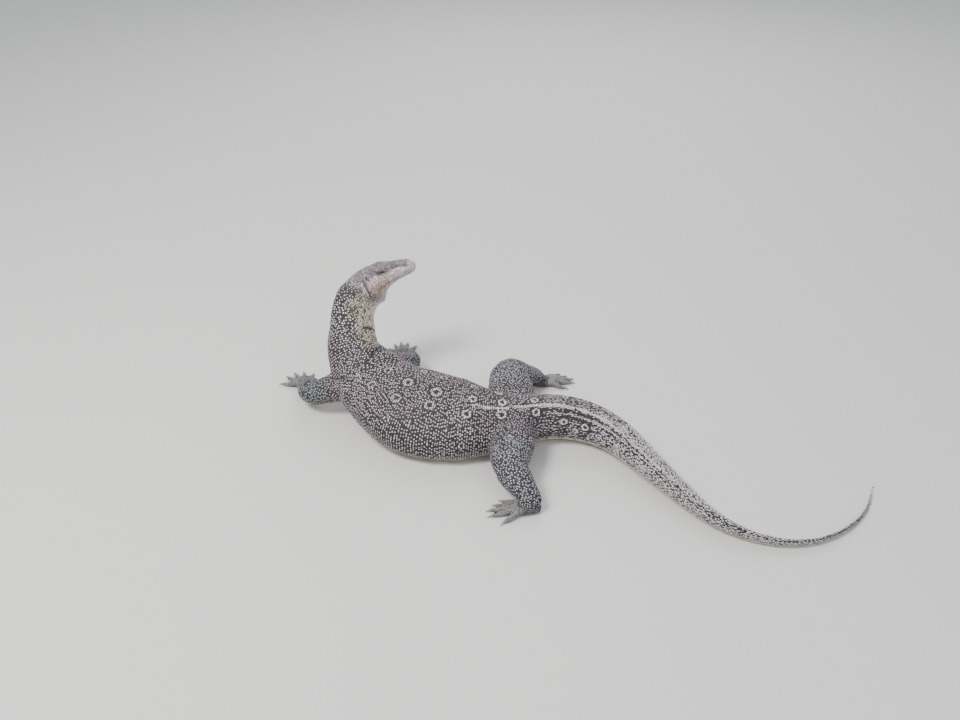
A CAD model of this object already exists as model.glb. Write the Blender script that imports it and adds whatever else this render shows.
# %% [markdown]
# # A water monitor lizard, life size
# The part is a whole animal: head, neck, trunk, four legs with clawed feet and a long tail, lying on
# a level floor with its head raised and turned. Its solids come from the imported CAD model. Here the
# flesh gets one skin without seams, and over it thousands of small scales, each a solid bead. The
# animal faces -X, its tail runs off along +X, and Z is up. Everything is in metres.

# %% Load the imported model
import itertools
import math
import time

import bmesh
import bpy
import numpy as np
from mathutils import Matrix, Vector
from mathutils.bvhtree import BVHTree
from mathutils.kdtree import KDTree


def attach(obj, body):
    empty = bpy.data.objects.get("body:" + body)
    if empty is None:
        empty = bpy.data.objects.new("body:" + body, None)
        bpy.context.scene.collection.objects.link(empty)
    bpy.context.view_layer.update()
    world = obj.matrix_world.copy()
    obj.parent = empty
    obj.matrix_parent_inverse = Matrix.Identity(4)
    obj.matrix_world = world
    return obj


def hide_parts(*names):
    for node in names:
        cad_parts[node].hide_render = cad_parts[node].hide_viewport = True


START = time.time()
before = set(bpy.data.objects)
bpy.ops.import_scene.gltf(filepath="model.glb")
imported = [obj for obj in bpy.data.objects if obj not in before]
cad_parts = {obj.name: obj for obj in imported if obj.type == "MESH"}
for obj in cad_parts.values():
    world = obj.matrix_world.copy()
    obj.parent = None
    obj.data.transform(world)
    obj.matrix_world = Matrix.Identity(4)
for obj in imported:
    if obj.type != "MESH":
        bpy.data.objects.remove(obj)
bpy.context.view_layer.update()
print("nodes", len(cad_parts))


def clock(what):
    print(f"{time.time() - START:6.1f} s  {what}")


# %% [markdown]
# ## The studio
# A lizard is dark and matt with a slight shine on each scale, so it reads best in broad soft light
# with one side a little stronger: a large key light from the upper left, a wide fill over the
# camera and a weak light from behind that draws the rim of the back. The floor is plain and pale and
# much larger than the animal. The camera looks down on the animal at 33.5 degrees, as one does
# standing beside it.

# %% The floor, the lights and the camera
FLOOR_COLOUR, FLOOR_HALF = (0.66, 0.65, 0.63), 14.0
SKY_COLOUR, SKY_STRENGTH = (0.9, 0.94, 1.0, 1.0), 0.72
CAMERA_PLACE, CAMERA_TILT, LENS, SENSOR = (0.10, -1.64, 1.29), 56.5, 33.75, 36.0
LIGHTS = (  # name, place, what it points at, size, power and colour
    ("key", (-1.5, -1.0, 2.9), (0.05, 0.0, 0.05), 1.2, 122, (1.0, 0.98, 0.95)),
    ("fill", (1.6, -2.4, 2.4), (0.2, -0.1, 0.05), 2.6, 30, (0.95, 0.97, 1.0)),
    ("rim", (0.6, 3.2, 3.0), (0.1, 0.6, 0.0), 3.0, 80, (1.0, 1.0, 1.0)),
)


def new_piece(name, data):
    """An object in the scene, made of a mesh, a light or a camera."""
    piece = bpy.data.objects.new(name, data)
    bpy.context.scene.collection.objects.link(piece)
    return piece


def new_material(name, values):
    """A material, its node tree and its shader, with the plain values set on the shader."""
    material = bpy.data.materials.new(name)
    material.use_nodes = True
    shader = material.node_tree.nodes["Principled BSDF"]
    for socket, value in values.items():
        shader.inputs[socket].default_value = value
    return material, material.node_tree, shader


def studio_floor(half=FLOOR_HALF):
    corners = [(-half, -half, 0), (half, -half, 0), (half, half, 0), (-half, half, 0)]
    mesh = bpy.data.meshes.new("studio_floor")
    mesh.from_pydata(corners, [], [(0, 1, 2, 3)])
    finish = {"Base Color": (*FLOOR_COLOUR, 1.0), "Roughness": 0.75}
    mesh.materials.append(new_material("studio_floor", finish)[0])
    new_piece("studio_floor", mesh)


def soft_light(name, place, target, size, power, colour):
    light = bpy.data.lights.new(name, "AREA")
    light.shape, light.size, light.energy, light.color = "DISK", size, power, colour
    lamp = new_piece(name, light)
    lamp.location = place
    lamp.rotation_euler = (Vector(target) - Vector(place)).to_track_quat("-Z", "Y").to_euler()


def studio_sky():
    world = bpy.data.worlds.new("studio")
    world.use_nodes = True
    sky = world.node_tree.nodes["Background"].inputs
    sky["Color"].default_value, sky["Strength"].default_value = SKY_COLOUR, SKY_STRENGTH
    bpy.context.scene.world = world


def studio_camera():
    lens = bpy.data.cameras.new("camera")
    lens.lens, lens.sensor_width, lens.clip_start = LENS, SENSOR, 0.05
    camera = new_piece("camera", lens)
    camera.location = CAMERA_PLACE
    camera.rotation_euler = (math.radians(CAMERA_TILT), 0.0, 0.0)
    bpy.context.scene.camera = camera


studio_floor()
for light in LIGHTS:
    soft_light(*light)
studio_sky()
studio_camera()
print("lights", [light[0] for light in LIGHTS])

# %% [markdown]
# ## Two kinds of curve
# The animal is drawn from a few measured places. A natural spline bends as little as it can, so it
# suits the backbone. The widths and depths must never swing past the measured values, or the body
# would bulge between them, so they follow a curve that eases through each knot.

# %% Curves through knots
def natural_spline(knots, values, at):
    """Values of the smooth natural cubic curve through the knots."""
    knots, values, at = np.asarray(knots, float), np.asarray(values, float), np.asarray(at, float)
    count = len(knots)
    step = np.diff(knots)
    system = np.eye(count)
    right_side = np.zeros(values.shape)
    slope = np.diff(values, axis=0) / step[:, None]
    for i in range(1, count - 1):
        system[i, i - 1:i + 2] = step[i - 1], 2 * (step[i - 1] + step[i]), step[i]
        right_side[i] = 6 * (slope[i] - slope[i - 1])
    bend = np.linalg.solve(system, right_side)
    i = np.clip(np.searchsorted(knots, at) - 1, 0, count - 2)
    h, a, b = step[i][:, None], (knots[i + 1] - at)[:, None], (at - knots[i])[:, None]
    return (bend[i] * a**3 + bend[i + 1] * b**3) / (6 * h) + (values[i] / h - bend[i] * h / 6) * a + (
        values[i + 1] / h - bend[i + 1] * h / 6) * b


def eased(knots, values, at):
    """Values of a curve through the knots that never swings past them."""
    knots, values = np.asarray(knots, float), np.asarray(values, float)
    slope = np.diff(values, axis=0) / np.diff(knots)[:, None]
    lean = np.zeros_like(values)
    same_way = slope[1:] * slope[:-1] > 0
    both = np.where(same_way, slope[1:] + slope[:-1], 1.0)
    lean[1:-1] = np.where(same_way, 2 * slope[1:] * slope[:-1] / both, 0.0)
    lean[0], lean[-1] = slope[0], slope[-1]
    at = np.clip(np.asarray(at, float), knots[0], knots[-1])
    i = np.clip(np.searchsorted(knots, at) - 1, 0, len(knots) - 2)
    h = np.diff(knots)[i][:, None]
    t = (at - knots[i])[:, None] / h
    return ((1 + 2 * t) * (1 - t) ** 2 * values[i] + t * (1 - t) ** 2 * h * lean[i]
            + t**2 * (3 - 2 * t) * values[i + 1] + t**2 * (t - 1) * h * lean[i + 1])


def smooth_step(value, low, high):
    """0 below low, 1 above high, and an eased ramp between them. It also runs downwards."""
    t = np.clip((np.asarray(value, float) - low) / (high - low), 0.0, 1.0)
    return t * t * (3 - 2 * t)


def unit(vectors):
    vectors = np.asarray(vectors, float)
    return vectors / np.maximum(np.linalg.norm(vectors, axis=-1, keepdims=True), 1e-12)


def run_along(points):
    """How far along a line of points each of them lies."""
    return np.concatenate([[0], np.cumsum(np.linalg.norm(np.diff(points, axis=0), axis=1))])


def signed_angle(degrees):
    """The same angle, from -180 to 180."""
    return (degrees + 180) % 360 - 180


# %% [markdown]
# ## The backbone
# One curve runs from the snout tip to the tail tip: up over the neck, which doubles back, down the
# trunk and out along the tail. Beside each place stands the way the back faces there. Measured
# along this curve, the eye is 83 mm from the snout, the hips are at 0.70 m and the tail ends at
# 1.76 m. Nearly everything else on the animal is placed by that distance and by an angle round the
# body, where 0 is the middle of the back, 90 its left side and 180 the middle of the belly.

# %% Where the backbone runs
PATH = (
    ((-0.054, 0.275, 0.294), (0.0, 0.0, 1.0)),  # snout tip
    ((-0.131, 0.262, 0.280), (0.0, 0.0, 1.0)),  # eyes
    ((-0.157, 0.250, 0.269), (-0.3, -0.05, 0.95)),  # ears
    ((-0.176, 0.238, 0.252), (-0.6, -0.1, 0.8)),  # back of the skull
    ((-0.188, 0.226, 0.229), (-0.9, -0.15, 0.45)),  # nape
    ((-0.198, 0.207, 0.199), (-1.0, -0.25, 0.25)),  # middle of the neck
    ((-0.199, 0.183, 0.169), (-0.9, -0.35, 0.35)),  # throat fold
    ((-0.197, 0.147, 0.139), (-0.6, -0.45, 0.65)),  # foot of the neck
    ((-0.170, 0.106, 0.101), (-0.3, -0.45, 0.85)),  # shoulders
    ((-0.108, 0.044, 0.075), (-0.05, -0.35, 0.93)),  # ribs
    ((-0.040, -0.003, 0.067), (0.0, -0.33, 0.94)),  # belly
    ((0.050, -0.026, 0.063), (0.0, -0.33, 0.94)),  # loin
    ((0.150, -0.026, 0.056), (0.0, -0.34, 0.94)),  # hips
    ((0.240, -0.003, 0.052), (-0.05, -0.42, 0.90)),  # root of the tail
    ((0.325, -0.010, 0.049), (-0.14, -0.44, 0.88)),
    ((0.395, -0.055, 0.045), (-0.32, -0.34, 0.88)),
    ((0.451, -0.133, 0.040), (-0.38, -0.27, 0.88)),
    ((0.513, -0.227, 0.031), (-0.38, -0.27, 0.88)),
    ((0.581, -0.310, 0.022), (-0.33, -0.33, 0.88)),
    ((0.660, -0.353, 0.015), (-0.10, -0.40, 0.90)),
    ((0.755, -0.356, 0.010), (0.0, -0.30, 0.95)),
    ((0.840, -0.316, 0.007), (0.0, -0.15, 0.98)),
    ((0.905, -0.250, 0.005), (0.0, 0.0, 1.0)),
    ((0.945, -0.172, 0.003), (0.0, 0.0, 1.0)),  # tail tip
)

PLACES = np.array([place for place, _ in PATH])
BACKS = np.array([back for _, back in PATH])
KNOTS = run_along(PLACES)
FINE = np.linspace(0, KNOTS[-1], 4000)
RUN = run_along(natural_spline(KNOTS, PLACES, FINE))
LENGTH = RUN[-1]


def backbone(distances):
    """Centres, directions towards the tail, left sides and dorsal sides at the distances."""
    at = np.interp(distances, RUN, FINE)
    centre = natural_spline(KNOTS, PLACES, at)
    along = unit(natural_spline(KNOTS, PLACES, at + 0.001) - natural_spline(KNOTS, PLACES, at - 0.001))
    dorsal = eased(KNOTS, BACKS, at)
    dorsal = unit(dorsal - along * (dorsal * along).sum(1, keepdims=True))
    return centre, along, np.cross(along, dorsal), dorsal


print("length along the backbone", round(LENGTH, 4))

# %% [markdown]
# ## How wide and deep the body is
# A monitor is flat on its belly, broad at the ribs, narrow at the hips, and its tail is a tall blade
# with a low crest along the top. Each row below gives a distance from the snout, the half width, the
# depth above and below the backbone, how square the upper half is, how much the crown narrows and
# how high the crest stands. The tail is weighed down on the floor, so its lower half is stretched
# until it just presses on it.

# %% The profile of the body
PROFILE = (
    (0.000, 0.0068, 0.0054, 0.0064, 2.0, 0.00, 0.0),
    (0.004, 0.0130, 0.0105, 0.0115, 2.1, 0.04, 0.0),
    (0.012, 0.0185, 0.0150, 0.0165, 2.3, 0.08, 0.0),
    (0.028, 0.0218, 0.0172, 0.0222, 2.6, 0.14, 0.0),
    (0.050, 0.0245, 0.0187, 0.0290, 2.8, 0.20, 0.0),
    (0.080, 0.0300, 0.0245, 0.0405, 2.8, 0.26, 0.0),
    (0.110, 0.0360, 0.0330, 0.0595, 2.4, 0.18, 0.0),
    (0.138, 0.0410, 0.0420, 0.0625, 2.1, 0.08, 0.0),
    (0.167, 0.0430, 0.0550, 0.0490, 2.0, 0.02, 0.0),
    (0.204, 0.0440, 0.0560, 0.0460, 2.0, 0.00, 0.0),
    (0.242, 0.0490, 0.0590, 0.0510, 2.0, 0.00, 0.0),
    (0.287, 0.0600, 0.0650, 0.0620, 2.0, 0.00, 0.0),
    (0.354, 0.0800, 0.0660, 0.0700, 2.0, 0.00, 0.0),
    (0.444, 0.0960, 0.0670, 0.0720, 2.1, 0.00, 0.0),
    (0.527, 0.1100, 0.0690, 0.0720, 2.1, 0.00, 0.0),
    (0.619, 0.1020, 0.0660, 0.0680, 2.1, 0.00, 0.0),
    (0.700, 0.0760, 0.0560, 0.0600, 2.1, 0.00, 0.0),
    (0.760, 0.0620, 0.0530, 0.0560, 2.0, 0.00, 0.001),
    (0.813, 0.0530, 0.0520, 0.0540, 2.0, 0.00, 0.003),
    (0.898, 0.0480, 0.0500, 0.0500, 2.0, 0.05, 0.004),
    (0.982, 0.0410, 0.0460, 0.0460, 2.0, 0.10, 0.004),
    (1.072, 0.0330, 0.0390, 0.0400, 2.0, 0.15, 0.004),
    (1.184, 0.0245, 0.0310, 0.0310, 2.0, 0.20, 0.004),
    (1.292, 0.0160, 0.0210, 0.0220, 2.0, 0.25, 0.003),
    (1.384, 0.0100, 0.0140, 0.0150, 2.0, 0.25, 0.003),
    (1.479, 0.0064, 0.0100, 0.0110, 2.0, 0.25, 0.002),
    (1.573, 0.0046, 0.0070, 0.0080, 2.0, 0.25, 0.002),
    (1.665, 0.0030, 0.0045, 0.0055, 2.0, 0.20, 0.001),
    (1.760, 0.0014, 0.0020, 0.0032, 2.0, 0.10, 0.0),
)
TAIL_START, TAIL_EASE = 0.760, 0.05  # where the tail begins to reach the floor, and over what length
PRESS = 0.0020  # how far the tail is pressed flat on the floor


def body_sizes(distances):
    """The profile at the distances, with the tail's lower half stretched down to the floor."""
    rows = np.array(PROFILE)
    size = eased(rows[:, 0], rows[:, 1:], distances)
    centre, _, left, dorsal = backbone(distances)
    drop = (centre[:, 2] + PRESS) ** 2 - (size[:, 0] * left[:, 2]) ** 2
    reach = np.sqrt(np.maximum(drop, 1e-6)) / dorsal[:, 2]
    share = np.clip((np.asarray(distances) - TAIL_START) / TAIL_EASE, 0.0, 1.0)
    size[:, 2] += share * (reach - size[:, 2])
    return size


# %% [markdown]
# ## The planes of the head
# Skin lies close on a lizard's skull, so the head is not a plain cone. A brow ridge overhangs each
# eye, the skin sinks before and behind it, the jaw muscle swells at the rear, and there is a
# shallow channel from the eye to the nostril. Each line is one soft swelling or hollow: where it is,
# how far it spreads along and round the head, and how high it stands.

# %% Swellings and hollows
HEAD_RELIEF = (
    (0.078, 42, 0.014, 14, 0.0035),  # brow
    (0.056, 62, 0.013, 18, -0.0028),  # hollow before the eye
    (0.096, 70, 0.012, 18, -0.0020),  # hollow behind the eye
    (0.020, 55, 0.009, 22, 0.0014),  # swelling round the nostril
    (0.118, 95, 0.020, 26, 0.0030),  # jaw muscle
    (0.060, 108, 0.030, 10, 0.0014),  # upper lip
    (0.045, 0, 0.030, 16, -0.0012),  # flat of the snout
)
HEAD_END = 0.16  # distance at which the shapes of the head have died out
CREST_SHARPNESS = 30


def relief(distances, degrees):
    total = np.zeros(np.broadcast(distances, degrees).shape)
    for at, angle, spread, round_spread, height in HEAD_RELIEF:
        away = np.abs(np.abs(degrees) - angle)
        total += height * np.exp(-((distances - at) / spread) ** 2 - (away / round_spread) ** 2)
    return total


def body_points(distances, degrees, grow=0.0):
    """Points on the animal at distances along it and angles round it, one grid row a distance."""
    distances = np.atleast_1d(np.asarray(distances, float))
    degrees = np.broadcast_to(np.asarray(degrees, float), (len(distances), np.shape(degrees)[-1]))
    centre, _, left, dorsal = backbone(distances)
    half, up, down, square, narrow, keel = (column[:, None] for column in body_sizes(distances).T)
    s, c = np.sin(np.radians(degrees)), np.cos(np.radians(degrees))
    power = np.where(c > 0, 2 / square, 1.0)
    across = np.sign(s) * np.abs(s) ** power
    high = np.sign(c) * np.abs(c) ** power
    on_head = distances[:, None] < HEAD_END
    out = grow + np.where(on_head, relief(distances[:, None], signed_angle(degrees)), 0.0)
    across = across * (half + out) * (1 - narrow * np.maximum(0.0, high))
    high = high * (np.where(c > 0, up, down) + out) + keel * np.maximum(0.0, c) ** CREST_SHARPNESS
    points = centre[:, None] + left[:, None] * across[..., None] + dorsal[:, None] * high[..., None]
    points[..., 2] = np.maximum(points[..., 2], max(0.0, -grow) * 0.5)
    return points


# %% [markdown]
# ## Closed tubes
# Trunk, limbs and toes are all rings of points with a skin between them. This helper makes one such
# closed tube. Its ends are closed to a point, so it has no holes and can be fused with the others.

# %% A tube over rings
def band_faces(rows, count, joined=False):
    """The faces between rings of points. A joined band also runs from the last ring to the first."""
    i, j = np.meshgrid(np.arange(rows if joined else rows - 1), np.arange(count), indexing="ij")
    k, n = (j + 1) % count, (i + 1) % rows
    return np.stack([i * count + j, i * count + k, n * count + k, n * count + j], -1).reshape(-1, 4).tolist()


def new_object(name, points, faces):
    mesh = bpy.data.meshes.new(name)
    mesh.from_pydata([tuple(p) for p in points], [], faces)
    mesh.update()
    return new_piece(name, mesh)


def outward(shape):
    """Turns every face of a closed mesh outwards."""
    work = bmesh.new()
    work.from_mesh(shape.data)
    bmesh.ops.recalc_face_normals(work, faces=work.faces)
    work.to_mesh(shape.data)
    work.free()
    return shape


def tube(name, rings, first=None, last=None):
    """A closed tube over the rings, with a point at each end."""
    rings = np.asarray(rings)
    rows, count = rings.shape[:2]
    first = rings[0].mean(0) if first is None else first
    last = rings[-1].mean(0) if last is None else last
    faces = band_faces(rows, count)
    for j in range(count):
        k = (j + 1) % count
        faces += [(k, j, rows * count), ((rows - 1) * count + j, (rows - 1) * count + k, rows * count + 1)]
    return outward(new_object(name, np.concatenate([rings.reshape(-1, 3), [first], [last]]), faces))


# %% [markdown]
# ## The trunk, from snout to tail tip
# The head, neck, body and tail are one long tube. It is made a little smaller than the CAD solids,
# by the height of the scales that will stand on it. Rings stand close together on the small head and
# wider apart on the big trunk.

# %% The core of the body
SCALE_DEPTH = 0.0011  # how far the skin lies inside the solids
DEPTH_SHARE = ((0.0, 0.10, 0.2, 1.3, 1.6, 1.76), (0.5, 0.6, 1.0, 1.0, 0.5, 0.3))  # of it, along the body
CORE_POINTS = 120  # round each ring

core_at = np.concatenate([np.arange(0.0008, HEAD_END, 0.0016), np.arange(HEAD_END, 0.30, 0.003),
                          np.arange(0.30, 0.9, 0.005), np.arange(0.9, LENGTH - 0.004, 0.006)])
core_degrees = np.arange(CORE_POINTS) * 360 / CORE_POINTS
core_grow = -SCALE_DEPTH * np.interp(core_at, *DEPTH_SHARE)
core_rings = np.concatenate([body_points([d], core_degrees, g) for d, g in zip(core_at, core_grow)])
core = tube("core", core_rings)
clock(f"core of {len(core.data.vertices)} points")

# %% [markdown]
# ## The limbs
# A sprawling leg leaves the body sideways, turns down at the elbow or knee and ends in a flat foot.
# Each length swells where its muscles are. The rows give a share of the way along the length, a half
# width and a half thickness.

# %% Sizes of the legs
UPPER_ARM = ((-0.15, 0.036, 0.038), (0.15, 0.037, 0.039), (0.45, 0.034, 0.036), (0.75, 0.030, 0.031),
             (1.0, 0.027, 0.027), (1.12, 0.020, 0.020), (1.2, 0.009, 0.009))
FOREARM = ((-0.20, 0.013, 0.013), (-0.08, 0.024, 0.024), (0.2, 0.030, 0.028), (0.45, 0.028, 0.026),
           (0.75, 0.022, 0.020), (1.0, 0.018, 0.015), (1.12, 0.012, 0.009))
THIGH = ((-0.2, 0.048, 0.042), (0.1, 0.050, 0.044), (0.4, 0.049, 0.042), (0.7, 0.044, 0.038),
         (0.95, 0.037, 0.033), (1.1, 0.027, 0.025), (1.19, 0.013, 0.013))
SHIN = ((-0.22, 0.016, 0.015), (-0.08, 0.028, 0.026), (0.15, 0.035, 0.033), (0.4, 0.033, 0.030),
        (0.7, 0.026, 0.022), (1.0, 0.020, 0.016), (1.12, 0.014, 0.010))

# girth widens a leg that is bent tighter, where its flesh is pressed out sideways.
LIMBS = {
    "foreleg_left": dict(rows=(UPPER_ARM, FOREARM), girth=1.08,
                         joints=((-0.190, 0.094, 0.082), (-0.292, 0.091, 0.048), (-0.330, 0.176, 0.026))),
    "foreleg_right": dict(rows=(UPPER_ARM, FOREARM), girth=1.0,
                          joints=((-0.140, 0.155, 0.075), (-0.074, 0.226, 0.046), (-0.098, 0.306, 0.022))),
    "hindleg_left": dict(rows=(THIGH, SHIN), girth=1.0,
                         joints=((0.176, -0.060, 0.054), (0.160, -0.188, 0.058), (0.210, -0.256, 0.028))),
    "hindleg_right": dict(rows=(THIGH, SHIN), girth=1.16,
                          joints=((0.180, 0.000, 0.056), (0.166, 0.142, 0.076), (0.240, 0.198, 0.030))),
}

# Each foot: heading in degrees from +X, the length and half width of its palm, then for each toe its
# heading from the foot's, where its root sits across the palm (-1 to 1) and its length without the claw.
FEET = {
    "foreleg_left": dict(heading=122, palm=0.030, half=0.019, toes=(
        (-46, -0.95, 0.030), (-20, -0.5, 0.038), (-2, 0.0, 0.042), (16, 0.5, 0.042), (46, 0.95, 0.036))),
    "foreleg_right": dict(heading=98, palm=0.032, half=0.019, toes=(
        (32, 0.95, 0.032), (13, 0.5, 0.042), (1, 0.0, 0.046), (-11, -0.5, 0.044), (-34, -0.95, 0.036))),
    "hindleg_left": dict(heading=184, palm=0.044, half=0.020, toes=(
        (-26, -0.9, 0.030), (-12, -0.5, 0.038), (-2, 0.0, 0.044), (9, 0.45, 0.048), (34, 0.9, 0.036))),
    "hindleg_right": dict(heading=10, palm=0.044, half=0.020, toes=(
        (24, 0.9, 0.030), (11, 0.5, 0.038), (2, 0.0, 0.044), (-7, -0.45, 0.048), (-28, -0.9, 0.036))),
}
TOE_RADIUS = 0.0078  # at its root
CLAW_LENGTH = 0.015

for sizes in LIMBS.values():
    sizes["rows"] = [[(share, wide * sizes["girth"], thick) for share, wide, thick in rows]
                     for rows in sizes["rows"]]


def joints_of(limb):
    """Where the limb's shoulder or hip, its elbow or knee, and its wrist or ankle are."""
    return [np.array(place) for place in LIMBS[limb]["joints"]]


def flat_direction(degrees):
    return np.array((math.cos(math.radians(degrees)), math.sin(math.radians(degrees)), 0.0))


def press(points, floor=0.0006):
    """Flattens what would sink into the floor."""
    points = np.array(points, float)
    points[..., 2] = np.maximum(points[..., 2], floor)
    return points


def limb_ring(centre, along, wide, thick, count):
    along = unit(along)
    level = unit(np.cross(along, (0, 0, 1)))
    over = np.cross(level, along)
    turn = np.arange(count) * 2 * math.pi / count
    return centre + level * wide * np.sin(turn)[:, None] + over * thick * np.cos(turn)[:, None]


def limb_rows(start, end, rows, shares):
    """Centres, directions, half widths and half thicknesses at the shares of a limb's length."""
    start, end, rows = np.array(start), np.array(end), np.array(rows)
    size = eased(rows[:, 0], rows[:, 1:], shares)
    return start + (end - start) * np.asarray(shares)[:, None], end - start, size


def limb_tube(name, start, end, rows, grow=-0.0008, count=40):
    shares = np.linspace(rows[0][0], rows[-1][0], 30)
    centres, span, size = limb_rows(start, end, rows, shares)
    rings = [press(limb_ring(c, span, w + grow, t + grow, count)) for c, (w, t) in zip(centres, size)]
    way = unit(span)
    first = press(centres[0] - way * 0.3 * rows[0][2])
    last = press(centres[-1] + way * 0.3 * rows[-1][2])
    return tube(name, rings, first, last)


# %% [markdown]
# ## The feet
# A monitor's foot is a short flat palm with five long toes. Each toe is thick at the root, pinches
# behind each joint and swells at it, arches over the knuckle and comes down flat. A long curved claw
# sits at its end.

# %% Palms and toes
PALM = ((-0.35, 0.50, 0.0100, 0.0090), (-0.1, 0.80, 0.0130, 0.0115), (0.3, 0.95, 0.0120, 0.0105),
        (0.7, 1.05, 0.0100, 0.0085), (1.0, 0.95, 0.0085, 0.0072))
TOE = ((-0.30, 0.0095, 1.0), (0.0, 0.0100, 1.0), (0.22, 0.0105, 0.92), (0.42, 0.0080, 0.80),
       (0.62, 0.0060, 0.84), (0.82, 0.0045, 0.66), (1.0, 0.0039, 0.56))


def palm_tube(name):
    foot, wrist = FEET[name], joints_of(name)[2]
    heading, rows = flat_direction(foot["heading"]), np.array(PALM)
    shares = np.linspace(-0.35, 1.0, 16)
    size = eased(rows[:, 0], rows[:, 1:], shares)
    floor = wrist * (1, 1, 0)
    rings = [press(limb_ring(floor + heading * foot["palm"] * share + (0, 0, high), heading,
                             foot["half"] * wide - 0.0005, thick - 0.0005, 32))
             for share, (wide, thick, high) in zip(shares, size)]
    return tube(name + "_palm", rings)


def toe_axis(name, number, shares):
    """Centres, half thicknesses and direction of one toe at the shares of its length."""
    foot, wrist = FEET[name], joints_of(name)[2]
    turn, across, length = foot["toes"][number]
    heading = flat_direction(foot["heading"])
    aside = np.cross((0, 0, 1), heading)
    root = wrist * (1, 1, 0) + heading * foot["palm"] * (0.92 - 0.25 * abs(across))
    root = root + aside * foot["half"] * across * 0.72
    direction = flat_direction(foot["heading"] + turn)
    rows = np.array(TOE)
    size = eased(rows[:, 0], rows[:, 1:], shares)
    centres = root + direction * length * np.asarray(shares)[:, None]
    centres[:, 2] += size[:, 0]
    return centres, size[:, 1] * TOE_RADIUS, direction


def toe_tube(name, number):
    centres, radii, direction = toe_axis(name, number, np.linspace(-0.30, 1.0, 22))
    rings = [press(limb_ring(c, direction, r * 0.95 - 0.0004, r - 0.0004, 20))
             for c, r in zip(centres, radii)]
    return tube(f"{name}_toe_{number}", rings, last=centres[-1] + direction * radii[-1] * 0.35)


limb_flesh = {}
for limb, sizes in LIMBS.items():
    shoulder, elbow, wrist = sizes["joints"]
    limb_flesh[limb] = {
        "upper": limb_tube(limb + "_upper", shoulder, elbow, sizes["rows"][0]),
        "lower": limb_tube(limb + "_lower", elbow, wrist, sizes["rows"][1]),
        "palm": palm_tube(limb),
    }
    for number in range(5):
        limb_flesh[limb][f"toe_{number}"] = toe_tube(limb, number)
print("pieces of flesh", 1 + sum(len(pieces) for pieces in limb_flesh.values()))

# %% [markdown]
# ## One skin
# On the animal there is no line where the arm starts: one skin runs over everything. A voxel remesh
# fills the space that all the pieces share and wraps it in one closed surface. The wrap leaves small
# steps, so each point is drawn back onto the piece it came from, except near a joint between two
# pieces. There the points are only smoothed, which leaves a soft fillet like the fold of loose skin
# in an armpit.

# %% Fuse the pieces
VOXEL = 0.0043


def evaluated(piece):
    """The piece as it is with its modifiers."""
    bpy.context.view_layer.update()
    return piece.evaluated_get(bpy.context.evaluated_depsgraph_get())


def bake_modifiers(piece):
    """Turns the piece with its modifiers into plain mesh."""
    plain = bpy.data.meshes.new_from_object(evaluated(piece))
    piece.modifiers.clear()
    piece.data = plain
    return plain


def fused_mesh(name, pieces):
    """One mesh that holds the faces of all the pieces."""
    work = bmesh.new()
    for piece in pieces:
        work.from_mesh(piece.data)
    mesh = bpy.data.meshes.new(name)
    work.to_mesh(mesh)
    work.free()
    return mesh


def fuse(name, pieces, voxel):
    whole = new_piece(name, fused_mesh(name, pieces))
    remesh = whole.modifiers.new("wrap", "REMESH")
    remesh.mode, remesh.voxel_size = "VOXEL", voxel
    bake_modifiers(whole)
    return whole


def read_array(items, field, width, kind=float):
    """One property of all the items, as rows of numbers."""
    values = np.empty(len(items) * width, kind)
    items.foreach_get(field, values)
    return values.reshape(-1, width)


def mesh_points(mesh):
    return read_array(mesh.vertices, "co", 3)


def triangle_tree(piece):
    return BVHTree.FromObject(piece, bpy.context.evaluated_depsgraph_get())


bpy.context.view_layer.update()
parts = [("core", core)] + [(f"{limb}.{word}", piece) for limb, pieces in limb_flesh.items()
                            for word, piece in pieces.items()]
trees = {word: triangle_tree(piece) for word, piece in parts}
corners = {word: mesh_points(piece.data) for word, piece in parts}
boxes = {word: (places.min(0), places.max(0)) for word, places in corners.items()}
skin = fuse("skin", [piece for _, piece in parts], VOXEL)
clock(f"wrapped skin of {len(skin.data.vertices)} points")


# %% Draw the skin back onto its pieces
FILLET = {"core": 0.016, "upper": 0.012, "lower": 0.008, "palm": 0.004, "toe": 0.003}
BODY, LEG, FOOT = range(3)
FAR = 9.0  # stands for nowhere near
piece_names = [word for word, _ in parts]
piece_region = np.array([BODY if word == "core" else LEG if word.endswith(("upper", "lower")) else FOOT
                         for word in piece_names])


def set_points(mesh, points):
    mesh.vertices.foreach_set("co", np.asarray(points, float).ravel())
    mesh.update()


def mesh_edges(mesh):
    return read_array(mesh.edges, "vertices", 2, np.int64)


def drawn_in(points, edges, weight, pulls):
    """Draws each point to the middle of its neighbours, by its weight and by each pull in turn."""
    count = np.maximum(np.bincount(edges.ravel(), minlength=len(points)), 1)[:, None]
    for pull in pulls:
        total = np.zeros_like(points)
        np.add.at(total, edges[:, 0], points[edges[:, 1]])
        np.add.at(total, edges[:, 1], points[edges[:, 0]])
        points = points + (total / count - points) * weight[:, None] * pull
    return points


def smoothed(points, edges, weight, rounds):
    """Smoothing that pushes back a little each time, so that the shape keeps its size."""
    return drawn_in(points, edges, weight, (0.55, -0.45) * rounds)


def relaxed(points, edges, weight, rounds):
    """Plain averaging, which takes out a sharp fold that smoothing keeps."""
    return drawn_in(points, edges, weight, (0.5,) * rounds)


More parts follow.
